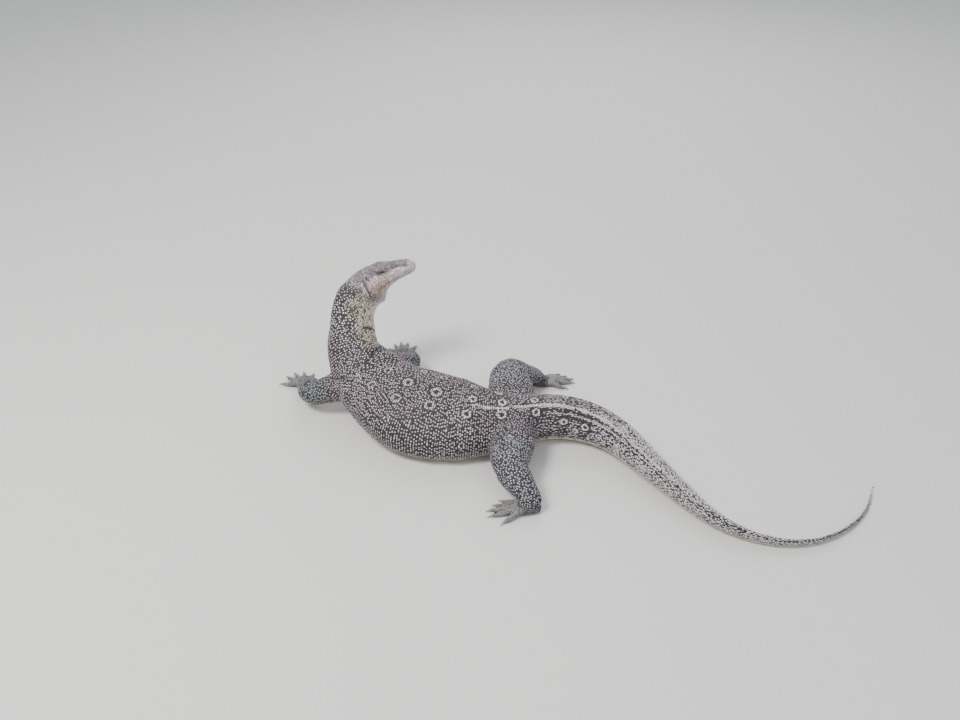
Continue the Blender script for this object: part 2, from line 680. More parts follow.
def nearest_pieces(points):
    """For each point: the nearest piece, its place on it, and how loose the point is.

    A point is loose where a second piece is near, because a fillet belongs there.
    """
    best, second = np.zeros(len(points), int), np.zeros(len(points), int)
    spot, gap = np.zeros_like(points), np.full((2, len(points)), FAR)
    for number, word in enumerate(piece_names):
        low, high = boxes[word]
        for i in np.flatnonzero(((points > low - 0.02) & (points < high + 0.02)).all(1)):
            place, _, _, away = trees[word].find_nearest(points[i], 0.03)
            if place is None:
                continue
            if away < gap[0, i]:
                gap[1, i], second[i] = gap[0, i], best[i]
                gap[0, i], best[i], spot[i] = away, number, place
            elif away < gap[1, i]:
                gap[1, i], second[i] = away, number
    fillet = np.array([FILLET[word.split(".")[-1].split("_")[0]] for word in piece_names])
    reach = np.minimum(fillet[best], fillet[second])
    return best, spot, 1 - smooth_step(gap[1], 0.25 * reach, reach)


points, edges = mesh_points(skin.data), mesh_edges(skin.data)
points = smoothed(points, edges, np.ones(len(points)), 2)
best, spot, loose = nearest_pieces(points)
points = points + (spot - points) * (1 - loose)[:, None]
for _ in range(3):
    points = smoothed(points, edges, loose, 6)
points = smoothed(points, edges, np.full(len(points), 0.4), 1)
set_points(skin.data, points)
clock("skin drawn onto its pieces")

# %% [markdown]
# ## Where each point of the skin is
# The folds, the markings and the scales all ask the same question: how far along the animal, and how
# far round it, is this point? For the long body the answer is read from a fine grid laid over it.
# For a leg or a toe it is the place along its axis.

# %% A map of the body
MAP_AT = np.concatenate([np.arange(0.0, 0.17, 0.002), np.arange(0.17, LENGTH - 0.001, 0.004)])
MAP_COUNT = 120
map_grid = body_points(MAP_AT, np.arange(MAP_COUNT) * 360 / MAP_COUNT, -0.0005)
map_faces = [face for a, b, c, d in band_faces(len(MAP_AT), MAP_COUNT) for face in ((a, b, c), (a, c, d))]
map_tree = BVHTree.FromPolygons([Vector(p) for p in map_grid.reshape(-1, 3)], map_faces, all_triangles=True)


def share_of(side, away):
    """How much of the way along a side a place lies, from 0 to 1."""
    return np.clip((away * side).sum(1) / np.maximum((side**2).sum(1), 1e-12), 0, 1)


def body_place(points):
    """Distance from the snout and angle from the back, -180 to 180, of points near the body."""
    found = [map_tree.find_nearest(p) for p in points]
    at = np.array([f[2] // 2 for f in found])
    row, column = at // MAP_COUNT, at % MAP_COUNT
    corner = map_grid[row, column]
    away = np.array([f[0] for f in found]) - corner
    down = map_grid[row + 1, column] - corner
    side = map_grid[row, (column + 1) % MAP_COUNT] - corner
    distance = MAP_AT[row] + (MAP_AT[row + 1] - MAP_AT[row]) * share_of(down, away)
    return distance, signed_angle((column + share_of(side, away)) * 360 / MAP_COUNT)


def limb_place(limb, word, points):
    """Length along a limb from its root, and the angle round it from above."""
    shoulder, elbow, wrist = joints_of(limb)
    foot = FEET[limb]
    first, second = np.linalg.norm(elbow - shoulder), np.linalg.norm(wrist - elbow)
    if word == "upper":
        start, end, offset = shoulder, elbow, 0.0
    elif word == "lower":
        start, end, offset = elbow, wrist, first
    elif word == "palm":
        start = wrist * (1, 1, 0) + (0, 0, 0.009)
        end, offset = start + flat_direction(foot["heading"]) * foot["palm"], first + second
    else:
        (start, end), offset = toe_axis(limb, int(word[-1]), [0.0, 1.0])[0], first + second + foot["palm"]
    way = unit(end - start)
    level = unit(np.cross(way, (0, 0, 1)))
    over = np.cross(level, way)
    away = points - start
    return offset + away @ way, np.degrees(np.arctan2(away @ level, away @ over))


clock("map of the body")

# %% [markdown]
# ## Finer mesh where the detail is
# Lids, nostrils and lips are a millimetre or two across, far finer than the trunk needs. Only the
# faces of the head and the feet are divided, so that the whole skin stays light.

# %% Divide the head and the feet
def divide(mesh, chosen, cuts):
    """Divides the faces whose corners are all chosen."""
    work = bmesh.new()
    work.from_mesh(mesh)
    work.verts.ensure_lookup_table()
    edges = {edge for face in work.faces if all(chosen[v.index] for v in face.verts) for edge in face.edges}
    bmesh.ops.subdivide_edges(work, edges=list(edges), cuts=cuts, use_grid_fill=True)
    work.to_mesh(mesh)
    work.free()
    mesh.update()


def skin_places():
    """The skin's points, the piece each came from, its place on it, how loose, how far and how round."""
    points = mesh_points(skin.data)
    best, spot, loose = nearest_pieces(points)
    distance, degrees = np.zeros(len(points)), np.zeros(len(points))
    for number, word in enumerate(piece_names):
        mine = best == number
        if not mine.any():
            continue
        if word == "core":
            distance[mine], degrees[mine] = body_place(points[mine])
        else:
            distance[mine], degrees[mine] = limb_place(*word.split("."), points[mine])
    return points, best, spot, loose, distance, degrees


def hump(value, middle, spread, power=2):
    return np.exp(-np.abs((value - middle) / spread) ** power)


region = piece_region[best]
on_head = (region == BODY) & (body_place(points)[0] < 0.168)
divide(skin.data, region == FOOT, 1)
on_head = np.concatenate([on_head, np.zeros(len(skin.data.vertices) - len(on_head), bool)])
divide(skin.data, on_head, 3)
points, best, spot, loose, distance, degrees = skin_places()
region = piece_region[best]
on_body = region == BODY
pinch = on_body * hump(distance, 0.160, 0.030, 4) * smooth_step(np.abs(degrees), 95, 150)
nape = on_body * hump(distance, 0.158, 0.016, 4) * smooth_step(np.abs(degrees), 80, 30)
loose = np.maximum(loose, pinch)
fine = (on_body & (distance < 0.165)) | (region == FOOT)
points = points + (spot - points) * ((1 - loose) * fine)[:, None]
edges = mesh_edges(skin.data)
for _ in range(4):
    points = smoothed(points, edges, np.maximum(pinch, 0.5 * nape), 6)
    points = relaxed(points, edges, np.maximum(pinch, 0.06 * nape), 5)
points = smoothed(points, edges, np.where(loose > 0, 0.8, 0.35), 2)
set_points(skin.data, points)
clock(f"skin of {len(points)} points, {sum(len(p.vertices) - 2 for p in skin.data.polygons)} triangles")

# %% [markdown]
# ## The straight lines of the skull
# The lips and the eyes are placed along the skull itself, which is straight: how far behind the tip
# of the snout, how far to the left and how high. The line of the mouth starts under the nostril,
# sinks slowly and turns down at the corner below the rear of the eye.

# %% Places on the skull
EYE_AT, EYE_ANGLE, EYE_RADIUS = 0.083, 58, 0.0072
NOSTRIL_AT, NOSTRIL_ANGLE = 0.019, 57
EAR_AT, EAR_ANGLE = 0.119, 54
EAR_LONG, EAR_TALL = 0.0044, 0.0070  # half its length and half its height
MOUTH_LINE = np.array(((0.0, -0.0060), (0.012, -0.0085), (0.030, -0.0105), (0.060, -0.0120),
                       (0.088, -0.0150), (0.098, -0.0176), (0.106, -0.0235)))
CREASE_ANGLES, CREASE_AT = (40, 70, 92, 110, 125), (0.125, 0.132, 0.141, 0.154, 0.160)

tip = backbone([0.0])[0][0]
eye_line, _, _, eye_dorsal = (values[0] for values in backbone([EYE_AT]))
skull_back = unit(eye_line - tip)
skull_up = unit(eye_dorsal - skull_back * (eye_dorsal @ skull_back))
skull_left = np.cross(skull_back, skull_up)


def skull_place(points):
    """How far behind the snout tip, to the left and up each point lies."""
    away = np.asarray(points) - tip
    return away @ skull_back, away @ skull_left, away @ skull_up


def body_point(distance, degrees):
    return body_points([distance], np.array([degrees]))[0, 0]


def inside_head(distance, high):
    """A place straight above the backbone."""
    centre, _, _, dorsal = backbone([distance])
    return centre[0] + dorsal[0] * high


def nostril_distance(points, side):
    return np.linalg.norm(points - body_point(NOSTRIL_AT, NOSTRIL_ANGLE * side), axis=1)


def ear_oval(points, side):
    """Below 1 inside the oval of the ear, which is taller than it is long."""
    ear = body_point(EAR_AT, EAR_ANGLE * side)
    above, below = (body_point(EAR_AT, (EAR_ANGLE + lean) * side) for lean in (-12, 12))
    round_head, along = unit(above - below), unit(body_point(EAR_AT + 0.006, EAR_ANGLE * side) - ear)
    away = points - ear
    oval = np.sqrt((away @ along / EAR_LONG) ** 2 + (away @ round_head / EAR_TALL) ** 2)
    return np.where(np.linalg.norm(away, axis=1) < 0.018, oval, FAR)


def jaw_line(distance, degrees):
    """How far each point is behind the crease from the ear down behind the jaw, and how much of
    the crease is there."""
    angle = np.abs(degrees)
    line = np.interp(angle, CREASE_ANGLES, CREASE_AT)
    return distance - line, smooth_step(angle, 44, 58) * smooth_step(angle, 124, 112)


eyes = {}
for side, word in ((1, "left"), (-1, "right")):
    at = body_point(EYE_AT, EYE_ANGLE * side)
    centre = at + unit(inside_head(EYE_AT, 0.006) - at) * 0.0052
    out = unit(centre - inside_head(EYE_AT, 0.008))
    forwards = unit(-skull_back - out * (-skull_back @ out))
    eyes[word] = (centre, out, forwards, np.cross(out, forwards) * side)
print("eyes at", {word: tuple(round(float(v), 4) for v in eye[0]) for word, eye in eyes.items()})

# %% [markdown]
# ## Lips, nostrils, ears and folds
# Each detail moves the points of the skin along their normals: the closed mouth is a fine furrow
# between two rounded lips, a nostril is a pit with a raised rim, and the ear is an oval cup with the
# drum at its bottom. Where the neck bends the throat skin lies in folds, and in front of the
# shoulders it hangs in one long crease. Behind the arm a loose fold runs along the flank.

# %% Shape the details of the skin
def waves(*terms):
    """A soft irregular wave, from sums of sines of the given phases."""
    return sum(np.sin(term + 1.7 * n) for n, term in enumerate(terms)) / len(terms)


def mouth_height(back):
    return np.interp(back, MOUTH_LINE[:, 0], MOUTH_LINE[:, 1])


FOLDS = (  # distance, angle it is centred on, its reach round the body, lean, width, depth
    (0.247, 180, 110, 0.00, 0.0028, 0.0026),  # throat fold
    (0.214, 180, 75, 0.02, 0.0022, 0.0012),
    (0.276, 180, 85, -0.02, 0.0026, 0.0016),
    (0.334, -55, 38, 0.10, 0.0026, 0.0022),  # crease before the right shoulder
    (0.334, 60, 40, -0.10, 0.0026, 0.0020),
    (0.352, -30, 24, 0.12, 0.0022, 0.0014),
)


def fold_depth(distance, degrees):
    depth = np.zeros(len(distance))
    for at, middle, span, lean, width, deep in FOLDS:
        away = signed_angle(degrees - middle)
        line = at + lean * np.radians(away) * 0.3 + 0.0020 * np.sin(np.radians(away) * 5 + at * 50)
        depth += deep * hump(distance, line, width) * (1 - smooth_step(np.abs(away), 0.6 * span, span))
    return depth


def head_details(points, distance, degrees):
    """How far each point of the head moves along its normal."""
    angle = np.abs(degrees)
    back, _, up = skull_place(points)
    above = up - mouth_height(back)
    lips = smooth_step(back, 0.108, 0.098) * smooth_step(angle, 50, 70)
    move = lips * (-0.0016 * hump(above, 0, 0.0009) + 0.0006 * hump(above, 0.0024, 0.0016)
                   + 0.0004 * hump(above, -0.0026, 0.0016))
    for side in (1, -1):
        far, oval = nostril_distance(points, side), ear_oval(points, side)
        move += -0.0024 * hump(far, 0, 0.0018, 4) + 0.0005 * hump(far, 0.0030, 0.0010)
        move += -0.0024 * (1 - smooth_step(oval, 0.70, 1.0)) + 0.0008 * hump(oval, 1.2, 0.22)
    behind, there = jaw_line(distance, degrees)
    move += there * (0.0007 * hump(behind, 0.0050, 0.0030) - 0.0014 * hump(behind, 0, 0.0018))
    furrow = hump(angle, 46, 5) * smooth_step(distance, 0.026, 0.034) * smooth_step(distance, 0.070, 0.060)
    move -= 0.0006 * furrow
    return move * smooth_step(distance, 0.176, 0.166)


def body_details(distance, degrees):
    """Folds, ribs and the loose skin of the trunk."""
    angle, turn = np.abs(degrees), np.radians(degrees)
    move = -fold_depth(distance, degrees)
    throat = (smooth_step(angle, 95, 150) * smooth_step(distance, 0.18, 0.20)
              * smooth_step(distance, 0.34, 0.31))
    wrinkles = waves(distance * 2 * np.pi / 0.009 + 2 * np.sin(turn * 3), distance * 900)
    move += 0.00045 * throat * wrinkles
    trunk = smooth_step(distance, 0.36, 0.42) * smooth_step(distance, 0.70, 0.64)
    flank = smooth_step(angle, 55, 80) * smooth_step(angle, 125, 105)
    ribs = waves(distance * 2 * np.pi / 0.021 + turn * 1.5, distance * 130)
    move += 0.0008 * trunk * flank * ribs
    sway = 5 * np.sin(distance * 30)
    move += 0.0012 * trunk * hump(angle, 98 + sway, 10)
    move -= 0.0016 * trunk * hump(angle, 84 + sway, 5)
    blades = hump(distance, 0.372, 0.026) * hump(angle, 42, 16)
    haunch = hump(distance, 0.705, 0.022) * hump(angle, 38, 14)
    spine = 0.0012 * hump(angle, 0, 9) * smooth_step(distance, 0.34, 0.38) * smooth_step(distance, 0.80, 0.70)
    move += 0.0022 * blades + 0.0020 * haunch - spine
    soft = waves(distance * 61 + turn * 3, distance * 37 - turn * 5, distance * 101 + turn * 2)
    move += 0.0007 * smooth_step(distance, 0.3, 0.4) * smooth_step(distance, 0.9, 0.8) * soft
    return move * (distance > 0.15)


def limb_details(limb, length, degrees):
    """Creases across the inside of the elbow and knee, and soft muscle."""
    shoulder, elbow, wrist = joints_of(limb)
    first = np.linalg.norm(elbow - shoulder)
    whole = first + np.linalg.norm(wrist - elbow)
    bend = sum(hump(length, first + shift, 0.0022) for shift in (-0.009, 0.0, 0.009))
    ankle = sum(hump(length, whole + shift, 0.0018) for shift in (-0.006, 0.002))
    ripples = waves(length * 260 + np.radians(degrees) * 2, length * 140)
    return -0.0009 * bend - 0.0007 * ankle + 0.0006 * ripples


move = np.zeros(len(points))
move[on_body] = body_details(distance[on_body], degrees[on_body]) + head_details(
    points[on_body], distance[on_body], degrees[on_body])
for number, word in enumerate(piece_names):
    mine = best == number
    if mine.any() and word.endswith(("upper", "lower", "palm")):
        move[mine] = limb_details(word.split(".")[0], distance[mine], degrees[mine])
move *= np.where(distance < HEAD_END, 1.0, 1 - 0.7 * loose)
on_floor = points[:, 2] < 0.003
move = np.where(on_floor & (move > 0), 0.0, move)
points = press(points + read_array(skin.data.vertex_normals, "vector", 3) * move[:, None])
print(f"deepest fold {-move.min() * 1000:.2f} mm, highest swelling {move.max() * 1000:.2f} mm")

# %% [markdown]
# ## The sockets of the eyes
# A monitor's eye is a ball about 14 mm across of which only an almond shows. The skin round it bulges
# over the ball, and inside the almond it falls back behind the ball. The lids are made later, as
# rolled edges round the opening.

# %% Sockets
OPENING = (0.0049, 0.0031)  # half the length and half the height of the almond
SOCKET = 0.0082  # how far from the middle of the eye the skin lies


def half_height(share):
    """Half the height of the opening, at a share of its half length. It is pointed towards the snout."""
    return OPENING[1] * np.sqrt(np.clip(1 - 0.30 * share**2, 0.3, 1))


def almond(eye, points):
    """Below 1 inside the almond of the opening."""
    centre, out, forwards, over = eye
    away = points - centre
    share = away @ forwards / OPENING[0]
    inner = np.sqrt(share**2 + (away @ over / half_height(share)) ** 2)
    return np.where(away @ out > 0, inner, FAR)


for eye in eyes.values():
    centre, _, _, over = eye
    away = points - centre
    far = np.linalg.norm(away, axis=1)
    bulge = SOCKET + 0.0006 * np.clip((away @ over) / SOCKET, -1, 1)
    lift = np.maximum(bulge - far, 0) + 0.0006 * hump(far, bulge + 0.0004, 0.0012)
    points = points + unit(away) * np.where(far < 0.0135, lift, 0.0)[:, None]
    away = points - centre
    far = np.linalg.norm(away, axis=1)
    sink = (1 - smooth_step(almond(eye, points), 0.95, 1.25)) * (far < 0.012)
    points = points + unit(away) * ((EYE_RADIUS - 0.0010 - far) * sink)[:, None]
set_points(skin.data, points)
skin.data.shade_smooth()
for _, piece in parts:
    bpy.data.objects.remove(piece)
clock("details of the skin")

# %% [markdown]
# ## The eyes
# The eye is a wet ball: a clear cornea over a dark brown iris with a round pupil and a thin gold ring
# round it. One ball carries all three as colours by the angle from its axis, under a clear coat that
# gives the sharp highlight. The cornea stands out a little from the ball.

# %% Helpers for materials
def feed(tree, node, inputs):
    """Sets a node's inputs. Each is given a value, or another node's output that feeds it."""
    for socket, value in inputs.items():
        if isinstance(value, bpy.types.NodeSocket):
            tree.links.new(value, node.inputs[socket])
        else:
            node.inputs[socket].default_value = value


def add_node(tree, kind, inputs, **settings):
    node = tree.nodes.new(kind)
    for word, value in settings.items():
        setattr(node, word, value)
    feed(tree, node, inputs)
    return node


def attribute(tree, word, output="Fac"):
    return add_node(tree, "ShaderNodeAttribute", {}, attribute_name=word).outputs[output]


def object_place(tree):
    return add_node(tree, "ShaderNodeTexCoord", {}).outputs["Object"]


def object_noise(tree, scale, detail=2.0):
    """Noise that belongs to the object. The scale is in blotches to the metre."""
    inputs = {"Vector": object_place(tree), "Scale": scale, "Detail": detail}
    return add_node(tree, "ShaderNodeTexNoise", inputs).outputs["Fac"]


def shaken_by(tree, value, noise, amount):
    inputs = {0: noise, 1: amount, 2: value}
    return add_node(tree, "ShaderNodeMath", inputs, operation="MULTIPLY_ADD").outputs[0]


def mapped(tree, value, low, high):
    """Turns a value from 0 to 1 into one from low to high."""
    inputs = {"Value": value, "To Min": low, "To Max": high}
    return add_node(tree, "ShaderNodeMapRange", inputs).outputs["Result"]


def toned(tree, colour, brightness):
    inputs = {0: colour, "Scale": brightness}
    return add_node(tree, "ShaderNodeVectorMath", inputs, operation="SCALE").outputs["Vector"]


def bumped(tree, height, strength, depth):
    inputs = {"Height": height, "Strength": strength, "Distance": depth}
    return add_node(tree, "ShaderNodeBump", inputs).outputs["Normal"]


def ramp(tree, factor, stops):
    """The colour between the stops, each of them a position and a colour."""
    node = add_node(tree, "ShaderNodeValToRGB", {"Fac": factor})
    elements = node.color_ramp.elements
    while len(elements) < len(stops):
        elements.new(0.5)
    for element, (position, colour) in zip(elements, stops):
        element.position, element.color = position, (*colour, 1.0)
    return node.outputs["Color"]


def add_attribute(mesh, name, kind, values):
    field = {"FLOAT": "value", "FLOAT_COLOR": "color", "FLOAT_VECTOR": "vector"}[kind]
    mesh.attributes.new(name, kind, "POINT").data.foreach_set(field, np.asarray(values, np.float32).ravel())


def add_colours(mesh, name, colours):
    add_attribute(mesh, name, "FLOAT_COLOR", np.column_stack([colours, np.ones(len(colours))]))


# %% Eyeballs
CORNEA = 0.00035  # how far it stands out from the ball
IRIS = (  # colours from the middle of the pupil to the rear of the ball
    (0.0, (0.004, 0.003, 0.003)), (0.20, (0.004, 0.003, 0.003)), (0.235, (0.11, 0.065, 0.022)),
    (0.27, (0.040, 0.022, 0.010)), (0.42, (0.022, 0.012, 0.008)), (0.50, (0.02, 0.012, 0.01)),
    (0.60, (0.05, 0.035, 0.03)),
)


def ball_rings(eye, rows=28, count=40):
    """Rings from the front of the eye to its back. The cornea bulges over the first 35 degrees."""
    centre, out, forwards, over = eye
    turn = np.arange(count) * 2 * math.pi / count
    across = forwards * np.cos(turn)[:, None] + over * np.sin(turn)[:, None]
    rings = []
    for angle in np.radians(np.linspace(4, 176, rows)):
        size = EYE_RADIUS - CORNEA + CORNEA * (1 - smooth_step(np.degrees(angle), 20, 42))
        rings.append(centre + out * size * math.cos(angle) + across * size * math.sin(angle))
    return rings


def eye_material():
    wet = {"Roughness": 0.12, "Coat Weight": 1.0, "Coat Roughness": 0.03}
    material, tree, shader = new_material("wet_eye", wet)
    angle = shaken_by(tree, attribute(tree, "iris"), object_noise(tree, 900.0), 0.05)
    feed(tree, shader, {"Base Color": ramp(tree, angle, IRIS)})
    return material


wet_eye = eye_material()
for word, eye in eyes.items():
    centre, out = eye[:2]
    ball = tube("eyeball_" + word, ball_rings(eye), centre + out * EYE_RADIUS, centre - out * EYE_RADIUS)
    around = unit(mesh_points(ball.data) - centre) @ out
    add_attribute(ball.data, "iris", "FLOAT", np.degrees(np.arccos(np.clip(around, -1, 1))) / 90)
    ball.data.materials.append(wet_eye)
    ball.data.shade_smooth()
    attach(ball, "root")
    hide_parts("eye_" + word)
print("eyes made:", list(eyes))

# %% [markdown]
# ## The lids
# An eye without lids looks like a bead stuck on. Each lid is a rolled edge of skin: it rises from the
# face, turns over and dives in against the ball. The whole rim is one closed ring swept round the
# almond, thicker above, where the brow presses on it, and drawn out at the front corner.

# %% Rolled rims round the eyes
LID = 0.00135  # how wide the rim is


def lid_rings(eye, count=72, steps=14):
    """A closed band: each ring runs round the opening, and the rings turn once about the roll."""
    centre, out, forwards, over = eye
    turn = np.arange(count) * 2 * math.pi / count
    x, z = np.cos(turn), np.sin(turn)
    front = 1 + 0.12 * np.maximum(x, 0) ** 6  # the tear corner
    wide = LID + 0.0005 * np.maximum(z, 0)
    rings = []
    for roll in np.arange(steps) * 2 * math.pi / steps:
        away = wide * (1 - math.cos(roll)) / 2 * 1.6  # 0 at the edge of the opening
        rise = math.sin(roll)
        height = EYE_RADIUS + CORNEA + wide * (0.42 + 0.62 * rise) * (1.0 if rise > 0 else 0.4)
        side_x, side_z = (OPENING[0] * front + away) * x, (half_height(x) + away) * z
        flat = out + (forwards * side_x[:, None] + over * side_z[:, None]) / EYE_RADIUS
        rings.append(centre + unit(flat) * height[:, None])
    return np.array(rings)


def ring_torus(name, rings):
    """A band closed both ways."""
    return outward(new_object(name, rings.reshape(-1, 3), band_faces(*rings.shape[:2], joined=True)))


lids = {word: ring_torus("lid_" + word, lid_rings(eye)) for word, eye in eyes.items()}
print("lid points", len(lids["left"].data.vertices))

# %% [markdown]
# ## The claws
# A claw is a horn blade, taller than wide, that leaves the toe upwards and curls down to its tip.
# It is darkest along the top, and pale and a little see-through near the tip. Each foot's five claws
# are one piece. A groove runs along each side where the horn is thinner.

# %% Five claws for each foot
HORN = (  # how far along the claw, and its colour there
    (0.08, (0.16, 0.14, 0.11)), (0.45, (0.30, 0.26, 0.19)), (0.80, (0.44, 0.38, 0.27)),
    (1.0, (0.14, 0.11, 0.08)),
)


def claw_rings(base, direction, radius, rows=14, count=14):
    """Rings from the root of a claw towards its tip, and the tip."""
    place, rings = np.array(base) + direction * 0.0001, []
    for share in np.linspace(0, 1, rows)[:-1]:
        angle = math.radians(20 - 84 * share)
        along = direction * math.cos(angle) + np.array((0, 0, 1)) * math.sin(angle)
        size = radius * 0.92 * (1 - share) ** 0.75 + 0.00022
        ring = limb_ring(place, along, 1.0, 1.0, count) - place
        level = unit(np.cross(along, (0, 0, 1)))
        over = np.cross(level, along)
        wide, tall = ring @ level, ring @ over
        wide = wide * (1 - 0.25 * hump(tall, -0.35, 0.3))
        rings.append(press(place + np.outer(wide * size * 0.66, level) + np.outer(tall * size, over), 0.0))
        place = place + along * CLAW_LENGTH / (rows - 1)
        place[2] = max(place[2], 0.0004)
    return rings, place


def claw_material():
    material, tree, shader = new_material("claw_horn", {"Roughness": 0.34})
    streaks = object_noise(tree, 700.0)
    along = shaken_by(tree, attribute(tree, "along_claw"), streaks, 0.25)
    feed(tree, shader, {"Base Color": ramp(tree, along, HORN), "Normal": bumped(tree, streaks, 0.25, 0.0004)})
    return material


claw_horn = claw_material()
for limb in FEET:
    blades, shares = [], []
    for number in range(5):
        centres, radii, direction = toe_axis(limb, number, [1.0])
        rings, end = claw_rings(centres[0] + direction * 0.0002, direction, radii[0])
        blades.append(tube("claw", rings, last=end))
        shares += [i / len(rings) for i in range(len(rings)) for _ in rings[0]] + [0.0, 1.0]
    claws = new_piece(limb + "_claws", fused_mesh(limb + "_claws", blades))
    for blade in blades:
        bpy.data.objects.remove(blade)
    add_attribute(claws.data, "along_claw", "FLOAT", shares)
    claws.data.materials.append(claw_horn)
    claws.data.shade_smooth()
    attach(claws, "root")
    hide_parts(*[f"{limb}_claw_{number}" for number in range(1, 6)])
clock("lids and claws")

# %% [markdown]
# ## Markings by rule
# An old water monitor is near black with a pale bead on most of its scales. On the back, pairs of
# pale rings stand along both sides of the spine, and a thin white line runs from the loin down the
# tail. The neck is black with white beads above and cream with dark streaks below, the throat and
# belly are cream, the head is mauve grey with pale lips and a touch of orange at the corner of the
# jaw, and the legs are slate with white flecks. One set of rules gives the colour at any place, from
# its distance and its angle, and both the skin and the scales read it. Every rule is a soft hump, a
# ring or a little noise.

# %% Soft noise
SCATTER = (73856093, 19349663, 83492791, 2654435761)  # one large odd number for each axis and one for the seed


def lattice(cells, seed):
    """A steady value from 0 to 1 for each whole cell."""
    x, y, z = np.moveaxis(cells, -1, 0)
    value = (x * SCATTER[0]) ^ (y * SCATTER[1]) ^ (z * SCATTER[2]) ^ (seed * SCATTER[3])
    value = (value ^ (value >> 13)) * 1274126177 & 0xFFFFFFFF
    return ((value ^ (value >> 16)) & 0xFFFF) / 65535.0


def noise(points, size, seed=1):
    """Soft noise from 0 to 1 whose blotches are about the given size."""
    scaled = np.asarray(points, float) / size + 100.0
    cell = np.floor(scaled).astype(np.int64)
    share = scaled - cell
    share = share * share * (3 - 2 * share)
    total = np.zeros(len(scaled))
    for corner in range(8):
        offset = np.array((corner & 1, corner >> 1 & 1, corner >> 2 & 1))
        weight = np.prod(np.where(offset, share, 1 - share), axis=1)
        total += weight * lattice(cell + offset, seed)
    return total


def unrolled_noise(distance, degrees, size, seed):
    """Noise on the skin unrolled from a body that is 45 mm thick to each side."""
    return noise(np.stack([distance, np.radians(degrees) * 0.045, distance * 0], 1), size, seed)


# %% The markings
BLACK = np.array((0.020, 0.016, 0.018))
PALE, ROSE_GREY = (0.75, 0.67, 0.71), (0.50, 0.40, 0.44)
RING_WHITE, RING_GROUND = (0.85, 0.79, 0.79), (0.50, 0.44, 0.45)
NAPE_GREY, NAPE_WHITE = (0.50, 0.42, 0.43), (0.84, 0.81, 0.80)
TAIL_WHITE = (0.95, 0.88, 0.90)
CREAM = np.array((0.70, 0.63, 0.50))
OLIVE = (0.055, 0.048, 0.030)
MAUVE, PINK = np.array((0.33, 0.265, 0.29)), np.array((0.97, 0.81, 0.85))
LIP_PINK, NOSE_IVORY, CHIN_BEIGE = (0.86, 0.74, 0.69), (0.92, 0.88, 0.80), (0.74, 0.64, 0.58)
ORANGE, RUST, JAW_CREAM = (0.74, 0.44, 0.21), (0.16, 0.09, 0.05), (0.82, 0.76, 0.66)
CREASE_DARK, EYE_STREAK, CROWN_SPOT = (0.055, 0.045, 0.045), (0.035, 0.028, 0.030), (0.08, 0.06, 0.07)
MOUTH_DARK, NOSTRIL_DARK, LID_DARK = (0.030, 0.016, 0.014), (0.012, 0.009, 0.009), (0.012, 0.008, 0.008)
EAR_DRUM, EAR_RIM = (0.13, 0.10, 0.10), (0.66, 0.58, 0.56)
SLATE, SLATE_PALE, SLATE_GREY = (0.020, 0.021, 0.027), (0.60, 0.58, 0.62), (0.46, 0.46, 0.46)
FOOT_GREY = np.array((0.20, 0.19, 0.18))

RINGS = (  # distance, angle, radius and strength of each pale ring on the back and flanks
    (0.498, -11, 0.0115, 0.6), (0.500, 14, 0.0120, 0.6), (0.572, -10, 0.0125, 0.7),
    (0.568, 9, 0.0125, 0.65), (0.652, -10, 0.0095, 0.95), (0.643, 14, 0.0105, 0.95),
    (0.717, -13, 0.0105, 1.0), (0.711, 12, 0.0115, 1.0), (0.793, -17, 0.0085, 0.8),
    (0.789, 17, 0.0090, 0.8), (0.714, 43, 0.0095, 0.8), (0.651, 38, 0.0085, 0.55),
    (0.606, 36, 0.0075, 0.45), (0.504, 44, 0.0080, 0.5), (0.540, 38, 0.0080, 0.5),
    (0.465, 60, 0.0085, 0.45), (0.714, -42, 0.0095, 0.8), (0.650, -38, 0.0085, 0.55),
    (0.575, -40, 0.0085, 0.5), (0.505, -42, 0.0080, 0.5), (0.430, -14, 0.0100, 0.35),
    (0.430, 16, 0.0100, 0.35), (0.575, 64, 0.0075, 0.4), (0.640, 64, 0.0075, 0.4),
    (0.575, -66, 0.0075, 0.4), (0.640, -64, 0.0075, 0.4), (0.500, 74, 0.0070, 0.35),
    (0.500, -74, 0.0070, 0.35), (0.752, 52, 0.0065, 0.6), (0.838, 58, 0.0060, 0.5),
    (0.866, 40, 0.0080, 0.75), (0.905, 62, 0.0065, 0.5), (0.930, 44, 0.0080, 0.7),
    (0.975, 56, 0.0070, 0.55), (1.015, 42, 0.0070, 0.5), (0.866, -42, 0.0080, 0.6),
    (0.930, -46, 0.0075, 0.6), (0.985, -50, 0.0070, 0.5), (0.385, 18, 0.0090, 0.3),
    (0.372, -20, 0.0095, 0.3),
)
bare_skin = triangle_tree(skin)


def on_bare_skin(at, angle):
    """Where a line from the backbone outwards leaves the skin, also where a haunch stands over the body."""
    inside = Vector(backbone([at])[0][0])
    hit = bare_skin.ray_cast(inside, Vector(body_point(at, angle)) - inside)[0]
    return hit if hit is not None else body_point(at, angle)


ring_places = np.array([on_bare_skin(at, angle) for at, angle, _, _ in RINGS])


def blend(first, second, share):
    """The first colour turned into the second by each point's share. Either may be one colour for all."""
    first, second = np.asarray(first), np.asarray(second)
    return first + (second - first) * np.clip(share, 0, 1)[:, None]


